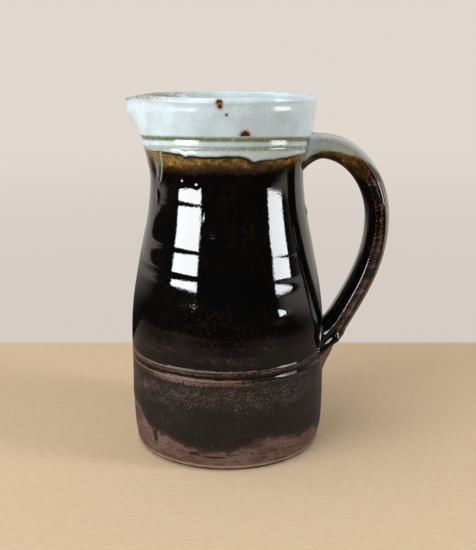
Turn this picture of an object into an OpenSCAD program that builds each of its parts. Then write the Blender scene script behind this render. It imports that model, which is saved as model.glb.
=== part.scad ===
// Hand-thrown stoneware jug: a thrown clay body with a pulled spout, a pulled strap handle
// luted on with slip, and the glaze coats that were dipped and poured over them.
// Millimetres. +Z is up, the handle is on +X, the spout on -X, and the origin is the
// centre of the foot on the table.

/* [Body] */
// Height from the table to the rim
jug_h = 220; // [200:1:240]
// Radius of the clay at the widest part of the belly
belly_r = 61; // [58:0.5:66]
// Height where the belly starts to draw in
belly_z = 66; // [56:1:80]
// How far the foot is drawn in from the belly
foot_draw = 4.5; // [2:0.5:8]
// Height over which the foot swells out to the belly
foot_rise = 35; // [20:1:45]
// How far the neck is drawn in from the belly at its narrowest
neck_draw = 14.2; // [8:0.2:18]
// Height over which the belly rounds into the leaning wall
belly_round = 42; // [30:1:50]
// Height over which the leaning wall rounds into the neck
neck_round = 26; // [16:1:30]
// Drop from the lower edge of the collar to the narrowest part of the neck
neck_drop = 14; // [8:1:20]
// Thickness of the clay wall
wall = 5; // [4:0.2:6]
// Thickness of the clay base
base_t = 7; // [5:0.5:10]
// Radius of the round where the inside floor turns up into the wall
floor_round = 9; // [5:0.5:14]
// Size of the bevel trimmed round the foot's lower edge
foot_bevel = 1; // [0.5:0.1:2]

/* [Belly rings] */
// Height of the lower incised ring
belly_ring_z = 59.2; // [48:0.2:64]
// Distance between the two incised rings
belly_ring_gap = 5.5; // [4:0.1:8]
// Width of an incised ring
belly_ring_w = 2.8; // [1.6:0.1:3.4]
// Depth of an incised ring
belly_ring_d = 0.9; // [0.4:0.1:1.4]

/* [Collar] */
// Height of the collar, from its lower edge to the rim
collar_h = 32; // [26:1:38]
// How far the collar's lower edge stands out past the neck
collar_flare = 3.1; // [1:0.1:5]
// How far the rim stands out past the collar's lower edge
rim_flare = 4.8; // [2:0.1:8]
// Thickness of the clay at the rim
rim_wall = 4; // [3:0.2:5]
// Height of the lower incised line above the collar's lower edge
collar_line_z = 5.2; // [4:0.2:6]
// Distance between the two incised lines of the collar
collar_line_gap = 4.2; // [3:0.1:5]
// Width of an incised line of the collar
collar_line_w = 2.2; // [1.4:0.1:2.6]
// Depth of an incised line of the collar
collar_line_d = 0.7; // [0.3:0.1:1]

/* [Spout] */
// How far the lip stands out past the circle of the rim
spout_reach = 8.4; // [5:0.2:12]
// How far the tip of the lip dips below the rim
spout_dip = 2.4; // [0:0.2:4]
// Height above the collar's lower edge where the spout starts to swell
spout_start = 3; // [1:0.5:8]
// Half angle over which the tip of the lip is rounded
spout_round = 9; // [5:0.5:14]

/* [Handle] */
// Height of the middle of the handle's upper root above the collar's lower edge
root_rise = 1; // [-3:0.5:4]
// Rise of the strap as it leaves the upper root
root_lift = 6; // [2:0.5:10]
// How far the middle of the strap stands out past the belly at its furthest
strap_stand = 31.9; // [26:0.1:40]
// Height where the strap stands out furthest
bend_z = 146; // [130:1:160]
// Height where the middle line of the strap meets the belly
tail_z = 64; // [58:1:76]
// Angle of the strap to the vertical where it meets the belly
tail_angle = 29.5; // [24:0.5:40]
// Width of the strap at its upper end
strap_w_top = 27; // [22:0.5:32]
// Width of the strap at its lower end
strap_w_low = 24; // [20:0.5:30]
// Thickness of the strap
strap_t = 14; // [10:0.2:16]
// Length of the slip joint at each end of the strap, measured along the strap
slip_len = 10; // [7:0.5:14]
// How much wider than the strap the upper slip joint is where it meets the neck
root_flare = 5; // [2:0.5:8]
// How much wider than the strap the lower slip joint is where it meets the belly
tail_flare = 9; // [4:0.5:12]
// How far a slip joint fills the hollow of the corner under the strap
slip_fillet = 5; // [2:0.5:8]

/* [Glaze] */
// Thickness of the dark glaze
dark_t = 0.6; // [0.4:0.05:1]
// Thickness of the pale glaze
pale_t = 0.8; // [0.5:0.05:1.2]
// Height above the table where the dark glaze stops short of the foot
bare_foot = 17; // [10:0.5:24]
// Depth of the amber band where the pale glaze has run into the dark
amber_h = 10.5; // [6:0.5:14]
// Length of strap, from the upper slip joint, that the pale dip covered
pale_strap = 34; // [20:1:50]
// Gap between the edge of a glaze coat and the slip joint that comes through it
coat_gap = 0.2; // [0.1:0.05:0.4]

/* [Hidden] */

clay_colour = [0.40, 0.27, 0.21];
dark_colour = [0.05, 0.04, 0.04];
amber_colour = [0.36, 0.25, 0.10];
pale_colour = [0.78, 0.82, 0.82];

foot_r = belly_r - foot_draw;
neck_r = belly_r - neck_draw;
collar_r = neck_r + collar_flare;
rim_r = collar_r + rim_flare;
handle_reach = belly_r + strap_stand;
collar_z = jug_h - collar_h;
neck_z = collar_z - neck_drop;
amber_z = collar_z - amber_h;
root_z = collar_z + root_rise;
belly_rings = [belly_ring_z, belly_ring_z + belly_ring_gap];
collar_lines = [collar_z + collar_line_z, collar_z + collar_line_z + collar_line_gap];

// Depth that one body is sunk into another where they are one lump of clay
sink = 3;
// Step in height between the top of the wall and the first free ring of the collar
seam = 0.4;
// Steps that a curved stretch of the profile is drawn with
belly_steps = 16;
foot_steps = 5;
neck_steps = 5;
ring_steps = 6;
round_steps = 4;
collar_steps = 3;
// Turn from one facet of the rounded rim to the next
rim_turn = 45;
// A length too small to matter
hair = 0.001;
// Facets of the spouted collar: fine across the spout, coarse round the rest
spout_side = 48;
fine_turn = 4;
coarse_turn = 8;
// Facets round the strap and steps along each of its stretches
strap_sides = 20;
strap_steps = 11;
slip_steps = 5;
// How square the strap's section is: 2 is an ellipse, more is squarer
strap_square = 2.5;
// How full the strap's bows are: the share of its span along which each end of a curve is pulled
root_fullness = 0.53;
upper_fullness = 0.62;
lower_fullness = 0.35;
tail_fullness = 0.48;
// How sharply the wall turns out from the neck into the collar: 1 is straight, more is later
neck_bend = 1.5;
spin_fn = 128;

// Profile of the thrown wall

// Share of its full depth that a ring cut at height c and of width w has at height z
function cut(z, c, w) = abs(z - c) >= w / 2 ? 0 : pow(cos(180 * (z - c) / w), 2);

function belly_cut(z) = belly_ring_d * max([for (c = belly_rings) cut(z, c, belly_ring_w)]);
function collar_cut(z) = collar_line_d * max([for (c = collar_lines) cut(z, c, collar_line_w)]);
function foot_inset(z) = z < foot_rise ? foot_draw * pow(1 - z / foot_rise, 3) : 0;

// Heights between which the wall leans in evenly, and its lean there
lean_low = belly_z + belly_round;
lean_high = neck_z - neck_round;
lean = neck_draw / (lean_high - lean_low + (belly_round + neck_round) / 2);

// How far the wall has leaned in at height z, between belly and neck
function leaned(z) =
    z <= belly_z ? 0
    : z <= lean_low ? lean * pow(z - belly_z, 2) / belly_round / 2
    : z <= lean_high ? lean * (z - lean_low + belly_round / 2)
    : neck_draw - lean * pow(neck_z - z, 2) / neck_round / 2;

// Outside radius of the smooth clay at height z
function smooth_r(z) =
    z <= neck_z ? belly_r - foot_inset(z) - leaned(z)
    : z <= collar_z ? neck_r + collar_flare * pow((z - neck_z) / neck_drop, neck_bend)
    : collar_r + rim_flare * (z - collar_z) / collar_h;

// Outside radius of the clay with its incised rings
function clay_r(z) = smooth_r(z) - belly_cut(z) - collar_cut(z);

// Thickness of the clay wall at height z, which thins towards the rim
function wall_t(z) = z <= collar_z ? wall : wall + (rim_wall - wall) * (z - collar_z) / collar_h;

// Inside radius of the clay at height z
function inside_r(z) = smooth_r(z) - wall_t(z);

// Heights from low to high, in n even steps
function levels(low, high, n) = [for (i = [0:n]) low + (high - low) * i / n];

// The same heights without the last
function levels_below(low, high, n) = [for (i = [0:n - 1]) low + (high - low) * i / n];

// Heights at which every coat and the clay under it are drawn, so that their faces meet
ring_half = belly_ring_w / 2;
wall_levels = concat(
    levels_below(foot_bevel, bare_foot, foot_steps),
    levels_below(bare_foot, belly_rings[0] - ring_half, foot_steps),
    levels_below(belly_rings[0] - ring_half, belly_rings[0] + ring_half, ring_steps),
    [belly_rings[0] + ring_half],
    levels_below(belly_rings[1] - ring_half, belly_rings[1] + ring_half, ring_steps),
    levels_below(belly_rings[1] + ring_half, amber_z, belly_steps),
    levels(amber_z, collar_z, neck_steps));

// The outside line of the clay from low to high, moved out by t
function outside_line(low, high, t = 0) =
    [for (z = wall_levels) if (z > low - hair && z < high + hair) [clay_r(z) + t, z]];

// The inside line of the clay, from the middle of the floor up to the collar, moved in by t
function inside_line(t = 0) =
    let (top = base_t + floor_round)
    concat([[0, base_t + t]],
           [for (i = [0:round_steps])
               let (a = 90 * i / round_steps, r = floor_round - t)
               [inside_r(top) - floor_round + r * sin(a), top - r * cos(a)]],
           [for (z = levels(top, collar_z, belly_steps)) if (z > top) [inside_r(z) - t, z]]);

function reversed(list) = [for (i = [len(list) - 1:-1:0]) list[i]];

// Shape of the spouted collar

// Turn from the spout, in degrees, of a point at azimuth a
function off_spout(a) = abs(abs(a) - 180);

// Angle from the tip at which the straight flanks of the lip touch the circle of the rim
spout_turn = acos(rim_r / (rim_r + spout_reach));

// Plan of the lip, d degrees from its tip: straight flanks that meet in a rounded tip
function flank(d) = let (rounded = sqrt(d * d + spout_round * spout_round / 4))
    rounded >= spout_turn ? 0 : 1 / cos(spout_turn - rounded) - 1;

// How far out of the rim's circle the lip stands at azimuth a
function lip(a) = spout_reach * flank(off_spout(a)) / flank(0);

// Share of the lip at height z: none at the foot of the spout, all of it at the rim
function swell(z) = let (t = (z - collar_z - spout_start) / (collar_h - spout_start))
    t <= 0 ? 0 : t >= 1 ? 1 : sin(90 * t);

// How far a height near the rim sinks where the lip dips
function dip(a, z) = spout_dip * lip(a) / spout_reach * pow(swell(z), 2);

azimuths = [for (a = [-180:fine_turn:-180 + spout_side - fine_turn]) a,
            for (a = [-180 + spout_side:coarse_turn:180 - spout_side - coarse_turn / 2]) a,
            for (a = [180 - spout_side:fine_turn:180 - fine_turn]) a];

// One ring of the collar: radius r and height z at the handle, with the spout pulled out of it
function collar_ring(r, z) = [for (a = azimuths)
    let (out = r + lip(a) * swell(z)) [out * cos(a), out * sin(a), z - dip(a, z)]];

// Heights of the collar's outside, with its incised lines, up to where the rim starts to round
collar_heights = concat([collar_z + seam],
    [for (c = collar_lines) each [c - collar_line_w / 2, c, c + collar_line_w / 2]],
    levels(collar_lines[1] + collar_line_w, jug_h - rim_wall / 2, collar_steps));
collar_inner_heights = levels(collar_z + seam, jug_h - rim_wall / 2, collar_steps + 1);

// Rings of the collar's surface from its outside foot, over the rim, to its inside foot, moved out by t
function collar_rings(t = 0) =
    let (half = rim_wall / 2)
    concat([for (z = collar_heights) collar_ring(clay_r(z) + t, z)],
           [for (b = [rim_turn:rim_turn:180 - rim_turn])
               collar_ring(rim_r - half + (half + t) * cos(b), jug_h - half + (half + t) * sin(b))],
           [for (z = reversed(collar_inner_heights)) collar_ring(inside_r(z) - t, z)]);

// Middle line and sections of the strap

// Point of a cubic curve with ends a, d and handles b, c
function curve(a, b, c, d, t) =
    a * pow(1 - t, 3) + b * 3 * t * pow(1 - t, 2) + c * 3 * t * t * (1 - t) + d * pow(t, 3);

root = [smooth_r(root_z), root_z];
bend = [handle_reach, bend_z];
tail = [smooth_r(tail_z), tail_z];
root_pull = root_fullness * (handle_reach - root[0]);
bend_pull_up = upper_fullness * (root_z - bend_z);
bend_pull_down = lower_fullness * (bend_z - tail_z);
tail_pull = tail_fullness * (bend_z - tail_z);
tail_way = [sin(tail_angle), cos(tail_angle)];

upper_curve = [root, root + [root_pull, root_lift], bend + [0, bend_pull_up], bend];
lower_curve = [bend, bend - [0, bend_pull_down], tail + tail_pull * tail_way, tail];

// Point of the strap's middle line: 0 is the upper root, 1 the bend and 2 the tail.
// Past either end the line runs straight on into the wall.
function way(t) =
    t < 0 ? root + (upper_curve[1] - root) * 3 * t
    : t <= 1 ? curve(upper_curve[0], upper_curve[1], upper_curve[2], upper_curve[3], t)
    : t <= 2 ? curve(lower_curve[0], lower_curve[1], lower_curve[2], lower_curve[3], t - 1)
    : tail - tail_way * tail_pull * 3 * (t - 2);

function unit(v) = v / norm(v);
function heading(t) = unit(way(t + hair) - way(t - hair));

// Length of the middle line from one place on it to another, measured in n chords
function run(from, to, n = 24) = let (p = [for (t = levels(from, to, n)) way(t)])
    sum([for (i = [0:n - 1]) norm(p[i + 1] - p[i])]);
function sum(list) = list * [for (v = list) 1];

// Places on the middle line where the strap and the pale dip on it end
strap_upper = slip_len / run(0, 1);
strap_lower = 2 - slip_len / run(1, 2);
pale_end = strap_upper + pale_strap / run(0, 1);

// How far a slip joint has widened at t: not at all along the strap, in full where it meets the wall
function slip_share(t) =
    t < strap_upper ? pow(min(1 - t / strap_upper, 1), 2)
    : t > strap_lower ? pow(min((t - strap_lower) / (2 - strap_lower), 1), 2) : 0;

function strap_w(t) = strap_w_top + (strap_w_low - strap_w_top) * min(max(t, 0), 2) / 2;
function squared(v) = sign(v) * pow(abs(v), 2 / strap_square);

// Section of the strap at t, grown by g on every side
function strap_ring(t, g = 0) =
    let (c = way(t), h = heading(t), n = [-h[1], h[0]])
    let (share = slip_share(t), flare = t < 1 ? root_flare : tail_flare)
    let (half_w = (strap_w(t) + share * flare) / 2 + g)
    let (outer = strap_t / 2 + g, inner = outer + share * slip_fillet)
    [for (i = [0:strap_sides - 1])
        let (a = 360 * i / strap_sides, x = squared(cos(a)), y = squared(sin(a)))
        let (d = y > 0 ? outer * y : inner * y)
        [c[0] + n[0] * d, half_w * x, c[1] + n[1] * d]];

// Reach of a slip joint into the wall, past its end of the middle line
root_sink = 2 * wall / norm(upper_curve[1] - root) / 3;
tail_sink = strap_t / tail_way[0] / tail_pull / 3;
upper_slip_way = levels(-root_sink, strap_upper, slip_steps);
lower_slip_way = levels(strap_lower, 2 + tail_sink, slip_steps);
strap_way = concat(levels_below(strap_upper, 1, strap_steps), levels(1, strap_lower, strap_steps));
pale_way = concat([for (t = strap_way) if (t < pale_end - hair) t], [pale_end]);
dark_way = concat([pale_end], [for (t = strap_way) if (t > pale_end + hair) t]);

// Solids from rings of points

// Triangles between ring i and ring j of n points each
function band(i, j, n) = [for (k = [0:n - 1]) let (m = (k + 1) % n)
    each [[i * n + k, j * n + m, i * n + m], [i * n + k, j * n + k, j * n + m]]];

// A closed solid through rings of points, capped at both ends
module capped_loft(rings) {
    n = len(rings[0]);
    last = len(rings) - 1;
    faces = concat([for (i = [0:last - 1]) each band(i, i + 1, n)],
                   [[for (k = [0:n - 1]) k], [for (k = [n - 1:-1:0]) last * n + k]]);
    polyhedron(points = [for (r = rings) each r], faces = faces, convexity = 6);
}

// A closed solid through rings of points whose last ring joins the first
module looped_loft(rings) {
    n = len(rings[0]);
    count = len(rings);
    faces = [for (i = [0:count - 1]) each band(i, (i + 1) % count, n)];
    polyhedron(points = [for (r = rings) each r], faces = faces, convexity = 8);
}

module spin(line) {
    rotate_extrude($fn = spin_fn) polygon(line);
}

// The space that the clay's outside encloses, without the spout
module outer_form() {
    collar = [for (z = concat(collar_heights, [jug_h])) [clay_r(z), z]];
    line = concat(outside_line(foot_bevel, collar_z), collar);
    spin(concat([[0, foot_bevel]], line, [[0, jug_h]]));
}

// The space inside the middle of the clay wall, from the neck up
module middle_form() {
    line = [for (z = levels(neck_z - neck_drop, jug_h, 9)) [smooth_r(z) - wall_t(z) / 2, z]];
    spin(concat([[0, neck_z - neck_drop]], line, [[0, jug_h]]));
}

// The slip joints grown by g, as they run on into the wall
module upper_slip_form(g = 0) capped_loft([for (t = upper_slip_way) strap_ring(t, g)]);
module lower_slip_form(g = 0) capped_loft([for (t = lower_slip_way) strap_ring(t, g)]);

// The hole that the upper slip joint makes in a coat on the outside of the wall
module upper_slip_hole() {
    difference() {
        upper_slip_form(coat_gap);
        middle_form();
    }
}

// Sub-parts

// The pot as it came off the wheel: foot, belly, neck, collar and the lip pulled out of its rim
module thrown_body() {
    color(clay_colour) {
        spin(concat([[0, 0], [foot_r - foot_bevel, 0]], outside_line(foot_bevel, collar_z),
                    reversed(inside_line())));
        low_out = collar_ring(clay_r(collar_z - sink) - seam, collar_z - sink);
        low_in = collar_ring(inside_r(collar_z - sink) + seam, collar_z - sink);
        looped_loft(concat([low_out], collar_rings(), [low_in]));
    }
}

// The pulled strap of clay between the two slip joints
module handle_strap() {
    color(clay_colour) capped_loft([for (t = strap_way) strap_ring(t)]);
}

// Slip and soft clay that lute the strap's upper end to the neck and collar
module upper_slip_joint() {
    color(pale_colour) difference() {
        upper_slip_form();
        outer_form();
    }
}

// Slip and soft clay that lute the strap's tail to the belly
module lower_slip_joint() {
    color(dark_colour) difference() {
        lower_slip_form();
        outer_form();
    }
}

// The dark glaze on the outside, from above the bare foot to the amber band
module belly_glaze() {
    color(dark_colour) difference() {
        spin(concat(outside_line(bare_foot, amber_z, dark_t), reversed(outside_line(bare_foot, amber_z))));
        lower_slip_form(coat_gap);
        upper_slip_form(coat_gap);
    }
}

// The band below the collar where the pale glaze has run into the dark
module amber_glaze_band() {
    top = collar_z + seam;
    inner = concat(outside_line(amber_z, collar_z), [[clay_r(top), top]]);
    color(amber_colour) difference() {
        spin(concat([for (p = inner) p + [dark_t, 0]], reversed(inner)));
        upper_slip_form(coat_gap);
    }
}

// The pale glaze that the collar was dipped in, outside, over the rim and inside
module collar_glaze() {
    color(pale_colour) difference() {
        looped_loft(concat(collar_rings(pale_t), reversed(collar_rings())));
        upper_slip_hole();
    }
}

// The dark glaze that was poured round the inside
module liner_glaze() {
    color(dark_colour) spin(concat(inside_line(), reversed(inside_line(dark_t))));
}

// The dark glaze on the strap
module strap_dark_glaze() {
    color(dark_colour) looped_loft(concat([for (t = dark_way) strap_ring(t, dark_t)],
                                          [for (t = reversed(dark_way)) strap_ring(t)]));
}

// The pale dip on the upper end of the strap
module strap_pale_glaze() {
    color(pale_colour) looped_loft(concat([for (t = pale_way) strap_ring(t, pale_t)],
                                          [for (t = reversed(pale_way)) strap_ring(t)]));
}

thrown_body();
handle_strap();
upper_slip_joint();
lower_slip_joint();
belly_glaze();
amber_glaze_band();
collar_glaze();
liner_glaze();
strap_dark_glaze();
strap_pale_glaze();
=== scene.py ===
"""Dresses a hand-thrown stoneware jug: its clay, its glaze coats, its pulled handle and a plain studio."""

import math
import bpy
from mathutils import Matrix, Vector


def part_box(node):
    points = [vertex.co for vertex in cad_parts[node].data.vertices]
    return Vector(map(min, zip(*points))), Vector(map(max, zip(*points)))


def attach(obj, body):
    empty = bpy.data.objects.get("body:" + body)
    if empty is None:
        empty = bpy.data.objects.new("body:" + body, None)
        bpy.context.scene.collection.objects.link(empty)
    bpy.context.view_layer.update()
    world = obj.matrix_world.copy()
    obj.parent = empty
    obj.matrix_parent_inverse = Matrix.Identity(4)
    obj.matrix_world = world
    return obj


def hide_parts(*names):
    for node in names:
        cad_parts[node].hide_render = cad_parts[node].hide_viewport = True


bl_info = {
    "name": "Stoneware Jug",
    "version": (1, 0, 0),
    "blender": (4, 5, 0),
    "location": "3D View > Sidebar > Jug",
    "description": "Builds the clay, glazes and handle of a thrown stoneware jug on its packed solids",
    "category": "Object",
}

from functools import wraps

import bpy
import numpy as np
from bpy.props import FloatProperty, FloatVectorProperty, IntProperty, PointerProperty
from bpy.types import Operator, Panel, PropertyGroup
from mathutils import Color, Vector

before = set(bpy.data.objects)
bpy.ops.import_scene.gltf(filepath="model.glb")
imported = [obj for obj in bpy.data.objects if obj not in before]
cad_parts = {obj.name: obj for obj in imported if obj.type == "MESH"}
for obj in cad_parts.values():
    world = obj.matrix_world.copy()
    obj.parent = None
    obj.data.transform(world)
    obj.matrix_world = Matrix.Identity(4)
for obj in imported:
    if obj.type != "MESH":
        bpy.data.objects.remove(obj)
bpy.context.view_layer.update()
CLAY_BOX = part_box("thrown_body")

MM = 0.001
TURN = 2 * math.pi
BODY = "root"

# Bearings in degrees round from the handle: spout, near side, and side where the glaze is most worn
SPOUT, NEAR_SIDE, WORN_SIDE = 180, -90, -125

# Marks that the thrower's fingers left on the belly: height of the mark's middle, how far it stands out and
# reach of its steep lower side, in millimetres
THROWING_MARKS = ((84, 0.08, 2.0), (111.4, 0.34, 6.0), (119.3, 0.46, 3.4), (133.8, 0.58, 4.0),
                  (159.2, 0.13, 2.2))

# Lumps and hollows that stray from the thrown wall: bearing in degrees, then height up the wall, half
# width, half height and rise in millimetres, and how far it leans sideways for each step up
LUMPS = ((-142.7, 161, 1.7, 3.6, 0.55, -0.25), (-3, 150, 2.6, 3, 0.8, 0), (-147.5, 176, 3, 9, -0.5, 0),
         (-98.4, 153, 0.8, 3.5, 0.12, 0.1), (-52.6, 94.3, 4.2, 2.8, 0.4, 0), (-174, 181, 20, 7, 1.2, 0),
         (-174, 143, 22, 10, -0.5, 0), (-174, 55, 25, 25, -0.5, 0), (-117.5, 172, 1.7, 1.3, 0.24, 0),
         (-106, 170.5, 1.3, 1.2, 0.16, 0), (-79, 164, 1.4, 2, 0.14, 0))

# Where the dark glaze ends above the foot: bearing in degrees, millimetres up
DARK_EDGE = ((-157, 30), (-147, 28.5), (-136, 21), (-121, 19), (-109, 14.5), (-97, 13), (-86, 13.5),
             (-69, 18.5), (-55, 20), (-43, 16), (-26, 16), (-5, 10), (18, 12), (40, 19), (65, 15),
             (92, 21), (118, 17), (148, 25), (175, 31))

# Where the pale glaze ends above or below the collar's lower edge, in the same way
PALE_EDGE = ((-161, 1.7), (-142, 0.8), (-130, 1.3), (-116, 0.7), (-106, -0.4), (-90, -0.2), (-74, -0.6),
             (-65, -2.4), (-54, -3), (-40, -2), (-21, -1.9), (0, -3.2), (26, -1.4), (52, 0.4), (76, -1),
             (101, 0.8), (130, -0.6), (156, 1.4), (178, 0.5))

# Where the pale glaze ends inside the neck, in the same way
INNER_EDGE = ((-170, -2), (-130, 1), (-95, -3), (-60, 0.5), (-20, -2.5), (25, 1), (70, -1.5), (110, 1.5),
              (150, -3))

# Drips of the pale glaze at the collar's lower edge: bearing in degrees, depth and half width in millimetres
PALE_DRIPS = ((-66, 1.4, 2.2), (-112, 1.3, 1.8), (34, 1.5, 1.8), (118, 1.2, 2))

# Runs of pale glaze down the neck: bearing at the top in degrees, drift of that bearing over the run,
# half width at the top in millimetres, height at which the run ends, how thickly it covers
NECK_RUNS = ((-143, 0, 6.5, 172, 0.58), (-132.5, -8, 1.5, 169, 0.85), (-17, 0, 1.6, 174, 0.8),
             (34, 0, 1.8, 176, 0.8))

# Iron spots on the collar: bearing in degrees, height and reach in millimetres, and 1 where the spot has
# flowed down to a straight lower edge
IRON_SPOTS = ((-73, 199.6, 2.9, 1.0), (-84.2, 211.2, 0.8, 0.0), (-88.4, 218.2, 1.9, 0.0),
              (-88.0, 215.8, 1.5, 0.0), (25, 203, 2.2, 0.0))

# Smoke stains on the clay near the foot: bearing in degrees, height, half width, half height in millimetres
SMOKE = ((-92, 9.6, 10, 0.9), (-104, 11, 5, 1.6), (-70, 11.5, 0.9, 1.6), (-131, 16, 2.6, 6),
         (-136, 24, 4, 1.5), (-125, 19, 1.8, 1.0), (40, 10, 8, 1.2), (120, 9, 6, 1))

# Half of the strap's section, from the crest of its outer face round to the inner face:
# share of the half width, share of the half thickness, and the turn at which that corner
# meets the belly at the tail, in degrees up from level
STRAP_CORNERS = ((0.0, 1.0, -90), (0.50, 0.91, -48), (0.87, 0.58, -6), (1.0, -0.14, 22), (0.70, -0.76, 55),
                 (0.36, -0.96, 74), (0.0, -1.0, 90))
OUTER_EDGE, SIDE_RIDGE = 2, 3

# Lengths of the glazed handle from its upper root to its tail: piece, node, slot, rows of points
HANDLE_LENGTHS = (("upper_root", "upper_slip_joint", "pale_glaze", 20),
                  ("pale_strap", "strap_pale_glaze", "pale_glaze", 36),
                  ("dark_strap", "strap_dark_glaze", "dark_glaze", 110),
                  ("thumbed_tail", "lower_slip_joint", "dark_glaze", 26))


# Properties

def length(name, description, millimetres):
    """A size, given in millimetres and kept in metres."""
    return FloatProperty(name=name, description=description, default=millimetres * MM,
                         unit="LENGTH", subtype="DISTANCE", precision=5)


def angle(name, description, degrees):
    """A turn, given in degrees and kept in radians."""
    return FloatProperty(name=name, description=description, default=math.radians(degrees),
                         unit="ROTATION", subtype="ANGLE")


def point(name, description, x, y, z):
    """A point, in metres."""
    return FloatVectorProperty(name=name, description=description, size=3, unit="LENGTH",
                               subtype="TRANSLATION", default=(x, y, z))


def radiance(name, description, strength):
    """The strength of a light."""
    return FloatProperty(name=name, description=description, default=strength, min=0)


def linear(value):
    """A screen value from 0 to 255 as linear light."""
    part = value / 255
    return part / 12.92 if part <= 0.04045 else ((part + 0.055) / 1.055) ** 2.4


def colour(name, description, red, green, blue):
    """A colour, given as it looks on a screen."""
    return FloatVectorProperty(name=name, description=description, size=3, min=0, max=1, subtype="COLOR",
                               default=(linear(red), linear(green), linear(blue)))


class JugBody(PropertyGroup):
    """Sizes of the thrown body."""
    height: length("Height", "From the table to the rim", CLAY_BOX[1].z / MM)
    belly_r: length("Belly radius", "Clay at the widest part of the belly", CLAY_BOX[1].y / MM)
    belly_z: length("Belly height", "Where the belly starts to draw in", 66)
    foot_draw: length("Foot draw", "How far the foot is drawn in from the belly", 2.8)
    foot_rise: length("Foot rise", "Height over which the foot swells out", 35)
    foot_bevel: length("Foot bevel", "Bevel round the foot's lower edge", 2.2)
    neck_draw: length("Neck draw", "How far the neck is drawn in from the belly", 14.2)
    belly_round: length("Belly round", "Height over which the belly rounds into the leaning wall", 42)
    neck_round: length("Neck round", "Height over which the leaning wall rounds into the neck", 26)
    neck_drop: length("Neck drop", "From the collar's lower edge down to the narrowest neck", 14)
    wall: length("Wall", "Thickness of the clay wall", 5)
    base: length("Base", "Thickness of the clay base", 7)
    floor_round: length("Floor round", "Round where the inside floor turns up", 9)
    ring_z: length("Ring height", "Height of the lower incised ring", 59.2)
    ring_gap: length("Ring gap", "Distance between the two incised rings", 5.5)
    ring_w: length("Ring width", "Width of an incised ring", 2.8)
    ring_d: length("Ring depth", "Depth of an incised ring", 0.9)
    mark_top: length("Mark top", "Reach of the gentle upper side of a throwing mark", 10)
    mark_slant: length("Mark slant", "How far a throwing mark climbs and falls round the belly", 3.75)
    uneven: length("Unevenness", "How far the hand-thrown wall strays from round", 0.12)
    columns: IntProperty(name="Columns", description="Points round the wall", default=300, min=48)


class JugCollar(PropertyGroup):
    """Sizes of the collar, its rim and its spout."""
    height: length("Height", "From the collar's lower edge to the rim", 32)
    flare: length("Flare", "How far the collar's lower edge stands out past the neck", 3.1)
    rim_flare: length("Rim flare", "How far the rim stands out past the collar's lower edge", 4.8)
    rim_wall: length("Rim wall", "Thickness of the clay at the rim", 4)
    line_z: length("Line height", "Lower incised line above the collar's lower edge", 5.2)
    line_gap: length("Line gap", "Distance between the two incised lines", 4.2)
    line_w: length("Line width", "Width of an incised line", 2.2)
    line_d: length("Line depth", "Depth of an incised line", 0.7)
    line_sag: length("Line sag", "How far the lines sag towards the spout and the handle", 2.8)
    spout_reach: length("Spout reach", "How far the lip stands out past the rim's circle", 8.1)
    spout_dip: length("Spout dip", "How far the tip of the lip dips", 2.4)
    spout_start: length("Spout start", "Where the spout starts to swell, above the collar's lower edge", 3)
    spout_round: angle("Spout round", "Half angle over which the tip of the lip is rounded", 9)


class JugHandle(PropertyGroup):
    """Sizes of the pulled strap and of its two roots."""
    root_rise: length("Root rise", "Middle of the upper root above the collar's lower edge", 1)
    root_lift: length("Root lift", "Rise of the strap as it leaves the upper root", 6)
    stand: length("Stand", "How far the strap's middle stands out past the belly", 31.9)
    bend_z: length("Bend height", "Where the strap stands out furthest", 146)
    tail_z: length("Tail height", "Where the strap's middle line meets the belly", 64)
    tail_angle: angle("Tail angle", "Strap to the vertical where it meets the belly", 29.5)
    width_top: length("Upper width", "Width of the strap at its upper end", 27)
    width_low: length("Lower width", "Width of the strap at its lower end", 24)
    thickness: length("Thickness", "Thickness of the strap", 14)
    slip: length("Slip joint", "Length of the slip joint at each end, along the strap", 10)
    heel: length("Heel", "How far the heel of the tail is thumbed out", 0.9)
    edge_round: length("Edge round", "Softness of the strap's edges", 0.45)
    pale: length("Pale dip", "Length of strap that the pale dip covered", 34)
    columns: IntProperty(name="Columns", description="Points round the strap", default=132, min=24)


class JugGlaze(PropertyGroup):
    """Thicknesses and colours of the glazes and the clay."""
    dark_t: length("Dark glaze", "Thickness of the dark glaze", 0.6)
    pale_t: length("Pale glaze", "Thickness of the pale glaze", 0.8)
    amber_h: length("Amber band", "Depth of the amber band under the collar", 10.5)
    sunk: length("Sunk", "How far a coat's hidden side is sunk into the clay", 0.25)
    black: colour("Black", "Thick dark glaze", 5, 5, 5)
    satin: colour("Satin", "Dry dark glaze below the rings", 20, 18, 17)
    rust: colour("Rust", "Iron specks in the dark glaze", 84, 46, 30)
    brown: colour("Brown", "Dark glaze where it breaks thin on an edge", 108, 75, 62)
    amber: colour("Amber", "Glaze where pale has run into dark", 78, 54, 19)
    gold: colour("Gold", "Brightest streaks of the amber", 172, 134, 68)
    umber: colour("Umber", "Darkest streaks of the amber", 36, 22, 9)
    pale: colour("Pale", "Pale glaze where it is thick", 212, 226, 233)
    pale_grey: colour("Pale grey", "Pale glaze where it is thinner", 188, 199, 199)
    green: colour("Green", "Pale glaze pooled in a line", 134, 144, 122)
    moss: colour("Moss", "Deepest pools of the pale glaze", 80, 88, 56)
    ochre: colour("Ochre", "Pale glaze where it breaks thin", 150, 116, 78)
    iron: colour("Iron", "Iron spots in the pale glaze", 60, 36, 30)
    veil: colour("Veil", "Pale glaze that lies thin over the dark", 136, 139, 129)
    clay: colour("Clay", "Bare clay", 91, 66, 54)
    mauve: colour("Mauve", "Clay flashed by the fire", 106, 85, 80)
    ember: colour("Ember", "Reddest clay", 88, 54, 43)
    biscuit: colour("Biscuit", "Rubbed edge of the foot", 176, 146, 114)


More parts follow.
